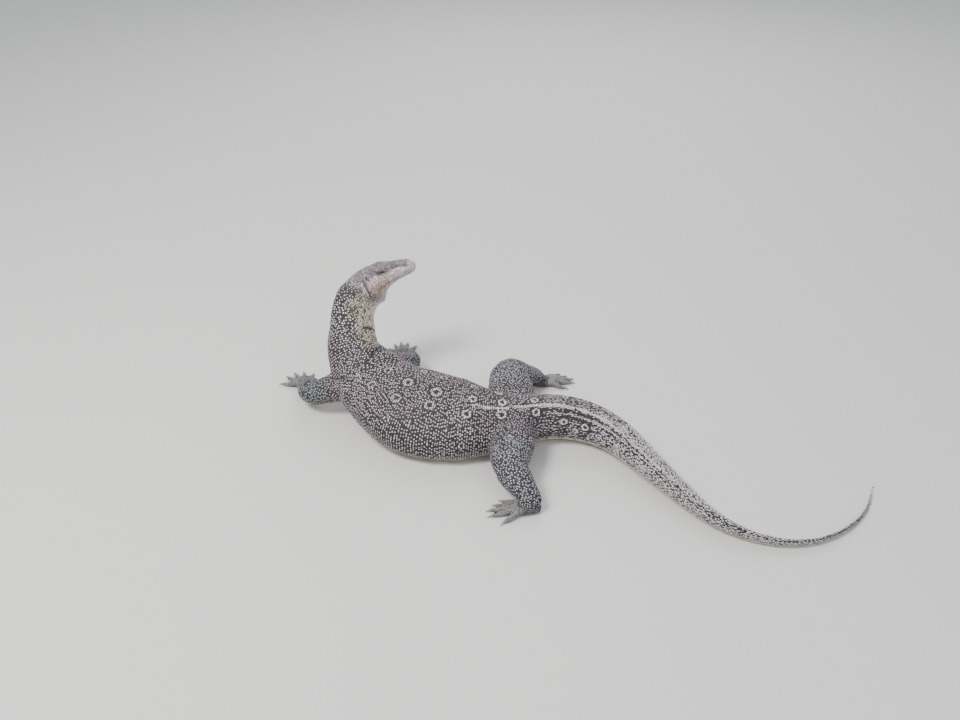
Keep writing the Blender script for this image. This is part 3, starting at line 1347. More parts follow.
def back_rings(points):
    """How pale the rings make each point, and how dark their insides."""
    pale, dark = np.zeros(len(points)), np.zeros(len(points))
    for place, (_, _, radius, strength) in zip(ring_places, RINGS):
        far = np.linalg.norm(points - place, axis=1)
        pale = np.maximum(pale, strength * hump(far, radius * 0.76, 0.0028, 4))
        dark = np.maximum(dark, strength * (1 - smooth_step(far, radius * 0.35, radius * 0.55)))
        dark = np.maximum(dark, 0.8 * strength * hump(far, radius * 1.22, 0.0020, 4))
    return pale, dark


def body_colours(points, distance, degrees):
    """The ground colour, the colour of a bead and how much of the bead is pale."""
    angle = np.abs(degrees)
    bead = blend(PALE, ROSE_GREY, 0.25 + 0.75 * noise(points, 0.05, 3))
    share = 0.52 + 0.16 * (noise(points, 0.006, 7) - 0.5) + 0.16 * (noise(points, 0.035, 9) - 0.5)
    pale, dark = back_rings(points)
    half_width = 2.4 + smooth_step(distance, 0.74, 0.84) * 1.8
    spine = hump(degrees, 0, half_width, 4) * smooth_step(distance, 0.645, 0.66)
    spine = spine * smooth_step(noise(points, 0.013, 5), 0.28, 0.36)
    share = share + 1.2 * pale - 1.3 * dark + 1.6 * spine
    bright = np.maximum(pale, spine)
    bead = blend(bead, RING_WHITE, bright)
    ground = blend(BLACK, RING_GROUND, 0.6 * smooth_step(bright, 0.30, 0.95))
    # the flank and belly turn cream
    low = smooth_step(angle, 84, 118) * smooth_step(distance, 0.30, 0.38)
    bars = hump(np.mod(distance, 0.040), 0.020, 0.007) * smooth_step(angle, 172, 120)
    ground = blend(ground, CREAM * 0.45, 0.8 * low)
    bead = blend(bead, CREAM, 0.8 * low)
    share = share + low * (0.55 - 1.1 * bars)
    # the neck: black with white beads above, cream with dark streaks at the side, cream below
    neck = smooth_step(distance, 0.120, 0.140) * smooth_step(distance, 0.345, 0.300)
    ragged = 30 * (noise(points, 0.018, 12) - 0.5) + 30 * (noise(points, 0.006, 13) - 0.5)
    edge = 56 + 8 * np.sin(distance * 60) + ragged
    side = neck * smooth_step(angle, edge, edge + 30)
    streaks = unrolled_noise(distance * 0.45, degrees, 0.0036, 15)
    under = neck * smooth_step(angle, 125, 150)
    ground = blend(blend(ground, OLIVE, side), CREAM * 0.5, under)
    bead = blend(bead, CREAM, side * 0.9)
    nape = neck * (1 - side / np.maximum(neck, 1e-6))
    share = share + (0.50 - share) * nape
    share = share + (0.80 + 1.2 * (streaks - 0.50) + 0.5 * under - share) * side
    fresh = smooth_step(distance, 0.125, 0.175)
    bead = blend(bead, NAPE_GREY, nape * (1 - fresh))
    bead = blend(bead, NAPE_WHITE, nape * fresh * smooth_step(distance, 0.32, 0.23))
    # the tail: a dark net, a pale line between two dark ones on the near side, paler below
    tail, rear = smooth_step(distance, 0.79, 0.86), smooth_step(distance, 0.86, 1.06)
    net = unrolled_noise(distance, angle, 0.0046, 21) - 0.5
    band = hump(np.mod(distance + 0.012, 0.070), 0.035, 0.013) * smooth_step(angle, 20, 34)
    far_side = smooth_step(-degrees, 0, 12) * smooth_step(-degrees, 75, 50)
    line = 0.5 * hump(degrees, 19, 3.5) - 0.45 * hump(degrees, 12, 4) - 0.45 * hump(degrees, 27, 4)
    share = share + tail * (0.04 + 0.16 * rear + 0.7 * net - 0.14 * band + 0.06 * far_side + line
                            + 0.5 * smooth_step(angle, 80, 108))
    bead = blend(bead, TAIL_WHITE, 0.25 * tail + 0.70 * rear)
    bead = blend(bead, CREAM, tail * smooth_step(angle, 70, 100) * 0.7)
    ground = blend(ground, CREAM * 0.4, tail * smooth_step(angle, 92, 125) * 0.8)
    return ground, bead, share


def head_colours(points, distance, degrees):
    """Mauve above, pink white lips, a dark streak through the eye and orange at the jaw."""
    angle = np.abs(degrees)
    back, _, up = skull_place(points)
    above = up - mouth_height(back)
    mottle, cloud = noise(points, 0.0045, 31) - 0.5, noise(points, 0.016, 33) - 0.5
    bead = MAUVE * (1 + 0.5 * cloud + 0.7 * mottle)[:, None]
    side, chin = smooth_step(angle, 48, 72), smooth_step(angle, 112, 140)
    cheek = side * smooth_step(distance, 0.14, 0.11)
    bead = blend(bead, PINK * (0.86 + 0.35 * (mottle + 0.5))[:, None], cheek * (0.88 + 0.4 * mottle))
    lip = side * hump(above, 0.001, 0.007, 4) * smooth_step(back, 0.11, 0.095)
    bead = blend(bead, LIP_PINK, lip * 0.8)
    bead = blend(bead, NOSE_IVORY, smooth_step(distance, 0.020, 0.006) * 0.85)
    bead = blend(bead, CHIN_BEIGE, chin * 0.85)
    jaw = hump(distance, 0.106, 0.031, 4) * hump(angle, 103, 21, 4)
    flame = smooth_step(noise(points, 0.0036, 35), 0.36, 0.62)
    bead = blend(bead, ORANGE, jaw * (0.25 + 0.50 * flame))
    bead = blend(bead, RUST, jaw * 0.5 * smooth_step(noise(points, 0.0030, 36), 0.62, 0.72))
    behind, there = jaw_line(distance, degrees)
    bead = blend(bead, JAW_CREAM, there * hump(behind, 0.0060, 0.0030) * 0.9)
    bead = blend(bead, CREASE_DARK, there * hump(behind, -0.0002, 0.0020) * 0.8)
    streak = np.zeros(len(points))
    for centre, _, forwards, over in eyes.values():
        away = points - centre
        x, z = away @ forwards, away @ over
        near = (np.linalg.norm(away, axis=1) < 0.035) * smooth_step(np.abs(x - 0.001), 0.021, 0.009)
        streak = np.maximum(streak, near * hump(z - 0.06 * x, 0.0012, 0.0034))
    bead = blend(bead, EYE_STREAK, streak * 0.85)
    crown = 1 - smooth_step(angle, 44, 66)
    spotted = np.maximum(crown, 0.6 * (1 - chin) * smooth_step(distance, 0.03, 0.06))
    bead = blend(bead, CROWN_SPOT, smooth_step(noise(points, 0.0040, 41), 0.58, 0.70) * spotted * 0.55)
    furrow = side * hump(above, 0, 0.0009) * smooth_step(back, 0.108, 0.100)
    ground = blend(bead * 0.42, MOUTH_DARK, furrow)
    for sign in (1, -1):
        ground = blend(ground, NOSTRIL_DARK, 1 - smooth_step(nostril_distance(points, sign), 0.0014, 0.0024))
        oval = ear_oval(points, sign)
        ground = blend(ground, EAR_DRUM, 1 - smooth_step(oval, 0.75, 1.05))
        bead = blend(bead, EAR_RIM, 0.5 * hump(oval, 1.40, 0.3))
    return ground, bead, 0.62 + 0.9 * mottle


def limb_colours(points, degrees, foot):
    """Slate with white flecks, a little greyer on the forelegs, plain and greyer towards the toes."""
    under = smooth_step(np.abs(degrees), 112, 150)
    ground = blend(SLATE, CREAM * 0.4, under * 0.8)
    bead = blend(SLATE_PALE, SLATE_GREY, smooth_step(points[:, 0], 0.06, 0.0))
    bead = blend(bead, CREAM, under * 0.8)
    flecks = 0.20 * (noise(points, 0.0040, 51) - 0.5) + 0.10 * (noise(points, 0.03, 53) - 0.5)
    grey = FOOT_GREY * (0.75 + 0.5 * noise(points, 0.004, 55))[:, None]
    return ground, blend(bead, grey, foot * 0.9), 0.56 + flecks + 0.5 * under + 0.55 * foot


def colours_at(points, region, distance, degrees, chance):
    """Ground and bead colours anywhere on the body, the legs and the feet."""
    ground, bead, share = body_colours(points, distance, degrees)
    head = (region == BODY) & (distance < 0.20)
    if head.any():
        low, chin = (smooth_step(np.abs(degrees[head]), *ends) for ends in ((40, 80), (100, 130)))
        start, end = 0.150 + 0.006 * low + 0.022 * chin, 0.118 + 0.022 * low + 0.016 * chin
        near = smooth_step(distance[head], start, end)
        on_head = head_colours(points[head], distance[head], degrees[head])
        for mine, other in zip((ground, bead), on_head[:2]):
            mine[head] = blend(mine[head], other, near)
        share[head] += (on_head[2] - share[head]) * near
    limb = region > BODY
    if limb.any():
        values = limb_colours(points[limb], degrees[limb], (region[limb] == FOOT) * 1.0)
        # at its root a leg carries the markings of the body beside it
        root = np.flatnonzero(limb & (distance < 0.10))
        at, around = body_place(points[root]) if len(root) else (distance[root], degrees[root])
        reach = 76 + 80 * smooth_step(np.abs(degrees[root]), 105, 140)
        body = body_colours(points[root], at, np.clip(around, -reach, reach))
        ground[limb], bead[limb], share[limb] = values
        along = smooth_step(distance[root], 0.050, 0.095)
        ground[root], bead[root] = blend(body[0], ground[root], along), blend(body[1], bead[root], along)
        share[root] = body[2] + (share[root] - body[2]) * along
    fold = (region == BODY) & (distance > 0.16) & (distance < 0.37)
    deep = np.clip(fold_depth(distance[fold], degrees[fold]) / 0.0012, 0, 1)
    for mine in (ground, bead):
        mine[fold] = mine[fold] * (1 - 0.75 * deep)[:, None]
    # a bead is pale or nearly as dark as the ground, by its own chance
    lit = smooth_step(share + 0.9 * (chance - 0.5), 0.25, 0.80)
    head = ((region == BODY) * smooth_step(distance, 0.16, 0.12))[:, None]
    dark = (ground * 1.6 + 0.006) * (1 - head) + bead * 0.50 * head
    return ground, blend(dark, bead, lit)


clock("markings")

# %% [markdown]
# ## The skin's own finish
# Between the scales the skin is thin, finely creased and satin. Its colours come from the markings,
# stored as one colour for each point. The material darkens and roughens them with fine noise, and a
# net of tiny creases makes the bump, so that a gap between two scales never looks painted.

# %% Colour the skin
def skin_material(name, roughness):
    material, tree, shader = new_material(name, {"Specular IOR Level": 0.4})
    grain = object_noise(tree, 420.0, 4.0)
    creases = add_node(tree, "ShaderNodeTexVoronoi", {"Vector": object_place(tree), "Scale": 900.0},
                       feature="DISTANCE_TO_EDGE").outputs["Distance"]
    feed(tree, shader, {
        "Base Color": toned(tree, attribute(tree, "ground", "Color"), mapped(tree, grain, 0.65, 1.3)),
        "Roughness": mapped(tree, grain, roughness - 0.1, roughness + 0.15),
        "Normal": bumped(tree, creases, 0.5, 0.0004),
    })
    return material


skin_satin = skin_material("skin_satin", 0.55)
ground, _ = colours_at(points, region, distance, degrees, np.full(len(points), 0.5))
add_colours(skin.data, "ground", ground)
skin.data.materials.clear()
skin.data.materials.append(skin_satin)
for word, lid in lids.items():
    places = mesh_points(lid.data)
    _, bead = colours_at(places, np.full(len(places), BODY), *body_place(places), np.full(len(places), 0.5))
    bead = bead * 0.55 + np.array((0.05, 0.04, 0.04))
    bead = blend(LID_DARK, bead, smooth_step(almond(eyes[word], places), 1.02, 1.22))
    add_colours(lid.data, "ground", bead)
    lid.data.materials.append(skin_satin)
    lid.data.shade_smooth()
    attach(lid, "root")
clock("skin coloured")

# %% [markdown]
# ## Where the scales grow
# Scales stand in rings round the body, each ring shifted by half a scale from the last, as bricks
# are. They are large on the nape and the back, smaller on the flanks and legs, square plates on the
# belly and long keeled plates on the tail. Each root is laid on the final skin: its place, the way
# out, the way towards the tail, and its size. Where two rings crowd, as at the root of a leg, a root
# too near to another is left out, and where the skin would show, one more is put in.

# %% Lay the roots
BEAD, PLATE, KEELED, PEBBLE = range(4)
COVER = {BEAD: 1.20, PLATE: 1.08, KEELED: 1.12}  # how far a scale reaches over its neighbours
CELL = 0.006  # the grid in which near roots are looked up
PITCH = (  # distance, length of a scale, its width on the back, its width on the belly
    (0.140, 0.0032, 0.0031, 0.0030), (0.180, 0.0042, 0.0040, 0.0034), (0.220, 0.0049, 0.0046, 0.0036),
    (0.300, 0.0044, 0.0043, 0.0040), (0.380, 0.0044, 0.0043, 0.0044), (0.700, 0.0044, 0.0043, 0.0044),
    (0.800, 0.0046, 0.0042, 0.0042), (1.100, 0.0048, 0.0037, 0.0040), (1.400, 0.0042, 0.0026, 0.0028),
    (1.765, 0.0034, 0.0016, 0.0018),
)
LEG_PITCH = 0.0040
chooser = np.random.default_rng(11)  # a fixed seed, so that every run gives the same coat
skin_tree = BVHTree.FromPolygons([Vector(p) for p in points],
                                 [tuple(face.vertices) for face in skin.data.polygons])


class Roots:
    """A growing list of scale roots, which takes none that would crowd another."""

    def __init__(self):
        self.rows, self.cells = [], {}

    def cell(self, point):
        return tuple(int(math.floor(value / CELL)) for value in point)

    def crowded(self, point, room):
        near = itertools.product(*[(value - 1, value, value + 1) for value in self.cell(point)])
        return any((row[0] - point).length < 0.5 * (room + row[-1])
                   for cell in near for row in self.cells.get(cell, ()))

    def add(self, point, out, way, size, kind, distance, degrees, region, room):
        """Takes a root unless it is crowded, and says whether it did."""
        point = Vector(point)
        if self.crowded(point, room):
            return False
        self.rows.append((point, out, way, size, kind, distance, degrees, region, room))
        self.cells.setdefault(self.cell(point), []).append(self.rows[-1])
        return True


roots = Roots()


def lay(point, way, reach, *about):
    """Puts a root on the skin near the point, with its way in the skin. Says whether it was laid."""
    place, out, _, _ = skin_tree.find_nearest(Vector(point), reach)
    if place is None:
        return False
    way = Vector(way)
    way = way - out * way.dot(out)
    return roots.add(place, out, way.normalized() if way.length > 1e-5 else out.orthogonal(), *about)


def body_kind(at, signed):
    if abs(signed) > 118:
        return PLATE
    return KEELED if at > 0.80 else BEAD


def lay_rings(start, end):
    """Rings of scales from start to end. Rings are spaced by the scale's length."""
    pitch = np.array(PITCH)
    at, number, laid = start, 0, 0
    turn = np.arange(0, 361) * 1.0
    while at < end:
        long, wide_back, wide_low = eased(pitch[:, 0], pitch[:, 1:], [at])[0]
        ring = body_points([at], turn, -SCALE_DEPTH)[0]
        along = backbone([at])[1][0]
        width = wide_back + (wide_low - wide_back) * smooth_step(np.abs(signed_angle(turn)), 70, 130)
        steps = np.linalg.norm(np.diff(ring, axis=0), axis=1) / width[:-1]
        run = np.concatenate([[0], np.cumsum(steps)])
        count = max(6, round(run[-1]))
        marks = (np.arange(count) + (0.5 if number % 2 else 0.0)) * run[-1] / count
        for angle in np.interp(marks, run, turn):
            place = [np.interp(angle, turn, ring[:, i]) for i in range(3)]
            wide = np.interp(angle, turn, width) * 1.02
            kind = body_kind(at, signed_angle(angle))
            size = (long * 1.06 * COVER[kind], wide * COVER[kind])
            laid += lay(place, along, 0.0045, size, kind, at, signed_angle(angle), BODY, 0.80 * wide)
        at += long
        number += 1
    return laid


def lay_limb(limb):
    """Rings round the leg's two lengths, then round each toe."""
    joints, laid, offset = joints_of(limb), 0, 0.0
    for start, end, rows in zip(joints, joints[1:], LIMBS[limb]["rows"]):
        span = np.linalg.norm(end - start)
        shares = np.arange(rows[0][0] * 0.6, 1.02, LEG_PITCH / span)
        centres, way, sizes = limb_rows(start, end, rows, shares)
        for number, (centre, (wide, thick)) in enumerate(zip(centres, sizes)):
            count, odd = max(8, round(math.pi * (wide + thick) / LEG_PITCH)), number % 2
            ring = limb_ring(centre, way, wide - 0.001, thick - 0.001, count * 2)[odd::2]
            for place, angle in zip(ring, (np.arange(count) + 0.5 * odd) * 360 / count):
                laid += lay(press(place, 0.001), way, 0.0042, (LEG_PITCH * 1.26, LEG_PITCH * 1.20), BEAD,
                            offset + shares[number] * span, signed_angle(angle), LEG, 0.84 * LEG_PITCH)
        offset += span
    for toe, (_, _, length) in enumerate(FEET[limb]["toes"]):
        shares = np.arange(-0.05, 1.02, 0.0030 / length)
        centres, radii, direction = toe_axis(limb, toe, shares)
        for share, centre, radius in zip(shares, centres, radii):
            count = max(7, round(2 * math.pi * radius / 0.0031))
            ring = limb_ring(centre, direction, radius * 0.95, radius, count)
            for place, angle in zip(ring, np.arange(count) * 360 / count):
                size = (0.0032, 0.0040 if abs(signed_angle(angle)) < 50 else 0.0030)
                laid += lay(press(place, 0.001), direction, 0.003, size, PLATE,
                            offset + 0.04 + length * share, signed_angle(angle), FOOT, 0.0022)
    return laid


print("scales in rings on neck, trunk and tail:", lay_rings(0.147, 1.757))
for limb in LIMBS:
    print("scales on", limb, lay_limb(limb))
clock("rings laid")

# %% [markdown]
# ## The scales of the head
# The head is covered with small uneven plates, like a pavement of pebbles: about 3 mm on the crown,
# down to 1.3 mm round the eye. Two regular rows line the lips and a row of wider plates stands over
# each eye. The regular rows are laid first. Then points of the skin are tried in a fixed shuffled
# order, and each one that has enough room gets a plate.

# %% Rows on the head, then pebbles
LIP_ROWS = ((0.0021, 0.0030), (-0.0022, 0.0030), (0.0050, 0.0026), (-0.0048, 0.0027))  # height, length
LID_ROWS = ((3, 0.0009), (5, 0.0011), (7, 0.0013))  # which ring of the lid, size of a granule


def across_head(back, up, side):
    """The skin at one side of the head, seen along the skull's own left and right."""
    start = tip + skull_back * back + skull_up * up + skull_left * side * 0.06
    return skin_tree.ray_cast(Vector(start), Vector(-skull_left * side), 0.06)[0]


def lay_head_rows():
    """Two rows of plates along each lip, and a row of wide ones over each eye."""
    laid = 0
    for side in (1, -1):
        for height, long in LIP_ROWS:
            at_lip = abs(height) < 0.003
            size = (long * 1.04, 0.0029 if at_lip else 0.0026)
            for back in np.arange(0.0045 if at_lip else 0.008, 0.101, long * 1.02):
                place = across_head(back, mouth_height(back) + height, side)
                if place is not None:
                    at, angle = body_place([skin_tree.find_nearest(place)[0]])
                    laid += lay(place, skull_back, 0.004, size, PLATE, at[0], angle[0], BODY, long * 0.8)
        for back in np.arange(0.0, 0.028, 0.0029):
            at = 0.066 + back
            brow = body_point(at, side * (33 - 2 * math.sin(back * 110)))
            laid += lay(brow, backbone([at])[1][0], 0.006, (0.0029, 0.0052), PLATE,
                        at, side * 33, BODY, 0.0027)
    return laid


def lay_lids():
    """Rows of granules that run round each eye on its lids, the inner row the finest."""
    laid = 0
    for word, lid in lids.items():
        lid_tree = triangle_tree(lid)
        rings = lid_rings(eyes[word])
        for step, size in LID_ROWS:
            ring = np.vstack([rings[step], rings[step][:1]])
            run = run_along(ring)
            marks = np.linspace(0, run[-1], round(run[-1] / size), endpoint=False)
            for place in np.column_stack([np.interp(marks, run, ring[:, i]) for i in range(3)]):
                spot, out, _, _ = lid_tree.find_nearest(Vector(place))
                way = out.cross(Vector(eyes[word][1])).normalized()
                at, angle = body_place([spot])
                laid += roots.add(spot, out, way, (size * 1.15, size * 1.15), PEBBLE,
                                  at[0], angle[0], BODY, size * 0.8)
    return laid


print("plates in rows on the head:", lay_head_rows())
print("granules on the lids:", lay_lids())


def head_room(points, distance, degrees):
    """How wide a plate grows at each place of the head and throat."""
    room = np.interp(distance, (0.0, 0.02, 0.06, 0.10, 0.15), (0.0018, 0.0021, 0.0026, 0.0030, 0.0032))
    room = room * (1 - 0.22 * smooth_step(np.abs(degrees), 50, 80))
    for centre, _, _, _ in eyes.values():
        away = np.linalg.norm(points - centre, axis=1)
        room = np.minimum(room, 0.0013 + 0.10 * np.maximum(away - 0.0095, 0))
    return room


def head_bare(points):
    """Places with no scales: inside the eyes, the nostrils, the ears and the line of the mouth."""
    back, left, up = skull_place(points)
    bare = (np.abs(up - mouth_height(back)) < 0.0011) & (back < 0.104) & (np.abs(left) > 0.004)
    for eye in eyes.values():
        bare |= almond(eye, points) < 1.42
    for side in (1, -1):
        bare |= (nostril_distance(points, side) < 0.0024) | (ear_oval(points, side) < 1.15)
    return bare


faces, face_out = (read_array(skin.data.polygons, field, 3) for field in ("center", "normal"))
corner = np.array([face.vertices[0] for face in skin.data.polygons])
face_region, face_distance, face_degrees = region[corner], distance[corner], degrees[corner]
head_faces = np.flatnonzero((face_region == BODY) & (face_distance < 0.165))
at, around = body_place(faces[head_faces])
keep = ~head_bare(faces[head_faces]) & (at < 0.160)
head_faces, at, around = head_faces[keep], at[keep], around[keep]
rooms = head_room(faces[head_faces], at, around)
ways = backbone(at)[1]
laid = 0
for i in chooser.permutation(len(head_faces)):
    size = rooms[i] * 1.42
    laid += lay(faces[head_faces[i]], ways[i], 0.003, (size, size), PEBBLE,
                at[i], around[i], BODY, rooms[i] * 0.90)
print("pebbles on the head:", laid)

# %% [markdown]
# ## Fill what is left bare
# Where a leg meets the trunk the rings of both stop short. The same test finds every face of the
# skin that still has no scale near it.

# %% Scales in the gaps
def gap_size(region, distance):
    if region == FOOT:
        return 0.0030
    return 0.0042 if distance < 1.2 or region == LEG else 0.0026


laid = 0
for i in chooser.permutation(np.flatnonzero((face_region > BODY) | (face_distance > HEAD_END))):
    size = gap_size(face_region[i], face_distance[i])
    point = Vector(faces[i])
    if roots.crowded(point, size * 0.98):
        continue
    on_trunk = face_region[i] == BODY
    way = backbone([face_distance[i]])[1][0] if on_trunk else unit((face_out[i][1], -face_out[i][0], 0.3))
    laid += lay(point, way, 0.003, (size * 1.22, size * 1.22), BEAD, face_distance[i], face_degrees[i],
                face_region[i], size * 0.8)
print("scales in the gaps:", laid, "of", len(roots.rows))
clock("all roots laid")

# %% [markdown]
# ## Four shapes of scale
# Thousands of copies must each be light, so a scale has at most 30 triangles. A bead is an
# eight-sided dome, a plate is a low cushion with rounded corners, a keeled plate has one ridge that
# rises towards its rear end, and a pebble is a flat-topped dome. Every shape is closed and its rim
# lies below the skin, so there is never a gap under it. The height of a point above the rim is kept
# as well, because a scale is pale in the middle and dark round its edge.

# %% Make one of each
def scale_shape(name, corners, levels, ridge=None):
    """Rings of corners at (size, height, dome) levels, closed at the top by a point or a ridge."""
    places, dome, faces = [], [], []
    count = len(corners)
    for size, height, shade in levels:
        places += [(x * size, y * size, height) for x, y in corners]
        dome += [shade] * count
    for level in range(len(levels) - 1):
        a, b = level * count, (level + 1) * count
        faces += [(a + i, a + (i + 1) % count, b + (i + 1) % count, b + i) for i in range(count)]
    top = (len(levels) - 1) * count
    if ridge is None:
        places.append((0.0, 0.0, levels[-1][1] * 1.22))
        dome.append(1.0)
        faces += [(top + i, top + (i + 1) % count, len(places) - 1) for i in range(count)]
    else:
        rear, front = len(places), len(places) + 1
        places += ridge
        dome += [1.0, 0.8]
        faces += [(top, top + 1, rear), (top + 1, top + 2, front, rear), (top + 2, top + 3, front),
                  (top + 3, top + 4, front), (top + 4, top + 5, rear, front), (top + 5, top, rear)]
    faces.append(tuple(range(count))[::-1])
    shape = outward(new_object(name, places, faces))
    shape.data.shade_smooth()
    add_attribute(shape.data, "dome", "FLOAT", dome)
    add_attribute(shape.data, "patch", "FLOAT_VECTOR", [(x, y, 0.0) for x, y, _ in places])
    return shape


def oval_corners(count, power=2.0, shift=0.5):
    """Corners of an oval one unit wide. A higher power makes it squarer."""
    turn = (np.arange(count) + shift) * 2 * math.pi / count
    return [tuple(0.5 * math.copysign(abs(value) ** (2 / power), value) for value in pair)
            for pair in zip(np.cos(turn), np.sin(turn))]


KEEL = [(0.34, 0.0, 0.62), (-0.30, 0.0, 0.42)]  # the rear and the front end of the ridge
shapes = {
    BEAD: scale_shape("bead", oval_corners(8), ((1.0, -0.35, 0.0), (0.64, 0.56, 0.66))),
    PLATE: scale_shape("plate", oval_corners(8, 3.2), ((1.0, -0.30, 0.0), (0.80, 0.44, 0.62))),
    KEELED: scale_shape("keeled", oval_corners(6, 2.6, shift=0.0), ((1.04, -0.30, 0.0),), KEEL),
    PEBBLE: scale_shape("pebble", oval_corners(7, shift=0.2), ((1.0, -0.35, 0.0), (0.76, 0.46, 0.66))),
}
for shape in shapes.values():
    print(shape.name, sum(len(face.vertices) - 2 for face in shape.data.polygons), "triangles")

# %% [markdown]
# ## Grow the scales with Geometry Nodes
# The tree takes a cloud of roots and one shape. It turns a copy at each root so that its top faces
# out and its rear faces the tail, sizes it by the root's own numbers, and shakes turn and size a
# little from a fixed seed. Realize Instances at the end makes plain mesh of the copies.

# %% The tree that lays scales
TREE_INPUTS = (
    ("Roots", "Geometry", None), ("Scale shape", "Object", None), ("Size", "Float", 1.0),
    ("Height", "Float", 1.0), ("Turn", "Float", 0.12), ("Size shake", "Float", 0.13),
    ("Seed", "Int", 5), ("Finish", "Material", None),
)


def scale_tree():
    tree = bpy.data.node_groups.new("lay_scales", "GeometryNodeTree")
    for name, kind, value in TREE_INPUTS:
        socket = tree.interface.new_socket(name, in_out="INPUT", socket_type="NodeSocket" + kind)
        if value is not None:
            socket.default_value = value
    tree.interface.new_socket("Scales", in_out="OUTPUT", socket_type="NodeSocketGeometry")
    given, result = tree.nodes.new("NodeGroupInput").outputs, tree.nodes.new("NodeGroupOutput")

    def named(word):
        node = add_node(tree, "GeometryNodeInputNamedAttribute", {}, data_type="FLOAT_VECTOR")
        feed(tree, node, {"Name": word})
        return node.outputs[0]

    def shaken(low, high):
        node = add_node(tree, "FunctionNodeRandomValue", {"Seed": given["Seed"]}, data_type="FLOAT")
        for name, source in (("Min", low), ("Max", high)):
            tree.links.new(source, [s for s in node.inputs if s.name == name and s.type == "VALUE"][0])
        return [s for s in node.outputs if s.type == "VALUE"][0]

    def calculated(operation, first, second):
        return add_node(tree, "ShaderNodeMath", {0: first, 1: second}, operation=operation).outputs[0]

    turn, shake = given["Turn"], given["Size shake"]
    facing = add_node(tree, "FunctionNodeAxesToRotation", {0: named("out"), 1: named("way")},
                      primary_axis="Z", secondary_axis="X")
    twist = add_node(tree, "FunctionNodeAxisAngleToRotation", {
        "Axis": (0, 0, 1), "Angle": shaken(calculated("MULTIPLY", turn, -1.0), turn)})
    turned = add_node(tree, "FunctionNodeRotateRotation", {0: facing.outputs[0], 1: twist.outputs[0]},
                      rotation_space="LOCAL")
    shaken_size = shaken(calculated("SUBTRACT", 1.0, shake), calculated("ADD", 1.0, shake))
    flat = calculated("MULTIPLY", given["Size"], shaken_size)
    tall = calculated("MULTIPLY", flat, given["Height"])
    spread = add_node(tree, "ShaderNodeCombineXYZ", {0: flat, 1: flat, 2: tall})
    sized = add_node(tree, "ShaderNodeVectorMath", {0: named("spread"), 1: spread.outputs[0]},
                     operation="MULTIPLY")
    shape = add_node(tree, "GeometryNodeObjectInfo", {"Object": given["Scale shape"]})
    copies = add_node(tree, "GeometryNodeInstanceOnPoints", {
        "Points": given["Roots"], "Instance": shape.outputs["Geometry"],
        "Rotation": turned.outputs[0], "Scale": sized.outputs[0]})
    real = add_node(tree, "GeometryNodeRealizeInstances", {"Geometry": copies.outputs["Instances"]})
    finish = add_node(tree, "GeometryNodeSetMaterial", {
        "Geometry": real.outputs["Geometry"], "Material": given["Finish"]})
    tree.links.new(finish.outputs["Geometry"], result.inputs["Scales"])
    return tree


lay_scales = scale_tree()
print("tree inputs", [socket.name for socket in lay_scales.interface.items_tree if socket.in_out == "INPUT"])

# %% [markdown]
# ## The finish of a scale
# A scale is a little horn shield with a satin sheen on its crown and dull skin round its rim. The
# material fades from the ground colour at the rim to the bead's own colour on the crown, with fine
# noise in the colour and shallow scratches in the bump, because the scales of an old animal are worn.

# %% Material of the scales
def scale_material(name, low, high, roughness):
    """Ground colour up to the low share of the height, the bead's own colour from the high share on."""
    material, tree, shader = new_material(name, {"Specular IOR Level": 0.45})
    fade = add_node(tree, "ShaderNodeMapRange", {
        "Value": attribute(tree, "dome"), "From Min": low, "From Max": high,
    }, interpolation_type="SMOOTHSTEP").outputs["Result"]
    mixed = add_node(tree, "ShaderNodeMix", {}, data_type="RGBA")
    feed(tree, mixed, {
        "Factor": fade, "A": attribute(tree, "ground", "Color"), "B": attribute(tree, "bead", "Color")})
    shade = mapped(tree, object_noise(tree, 700.0, 3.0), 0.72, 1.25)
    feed(tree, shader, {
        "Base Color": toned(tree, mixed.outputs["Result"], shade),
        "Roughness": mapped(tree, fade, roughness + 0.18, roughness),
        "Normal": bumped(tree, object_noise(tree, 2200.0), 0.35, 0.00025),
    })
    return material


finishes = {
    BEAD: scale_material("scale_bead", 0.42, 0.88, 0.38),
    PLATE: scale_material("scale_plate", 0.0, 0.45, 0.42),
    KEELED: scale_material("scale_keeled", 0.26, 0.70, 0.40),
    PEBBLE: scale_material("scale_pebble", 0.0, 0.50, 0.40),
}
print("finishes", [finish.name for finish in finishes.values()])

# %% [markdown]
# ## Lay them
# The coat is laid in regions, each one piece of its own: head, neck, back, belly, tail, legs and
# feet. Each scale also gets a small patch in a flat map of its region, at the place where its root
# is when the skin is unrolled, so that its colour can be kept as an image later. A rim that would
# reach into the floor is pressed flat on it.

# %% Which scales are bright
SCALE_HEIGHT = {BEAD: 0.25, PLATE: 0.16, KEELED: 0.27, PEBBLE: 0.19}  # times its shorter side
BRIGHT_APART = ((0.115, 0.15, 0.19, 0.28, 0.34, 0.78, 0.90, 1.2, 1.7),
                (0.0042, 0.0050, 0.0055, 0.0049, 0.0046, 0.0047, 0.0066, 0.0056, 0.0035))
BRIGHT_APART_ON_LEGS = 0.0044

columns = list(zip(*roots.rows))
root_place, root_out, root_way = (np.array([tuple(value) for value in column]) for column in columns[:3])
root_size, root_kind, root_distance, root_degrees, root_region = (np.array(column) for column in columns[3:8])
heights = np.array([SCALE_HEIGHT[kind] for kind in root_kind])
root_size = np.column_stack([root_size, root_size.min(1) * heights])
for way in (root_way, np.cross(root_out, root_way)):
    shake = (chooser.random(len(root_place)) - 0.5) * 0.32 * root_size[:, 1]
    root_place = root_place + way * shake[:, None]


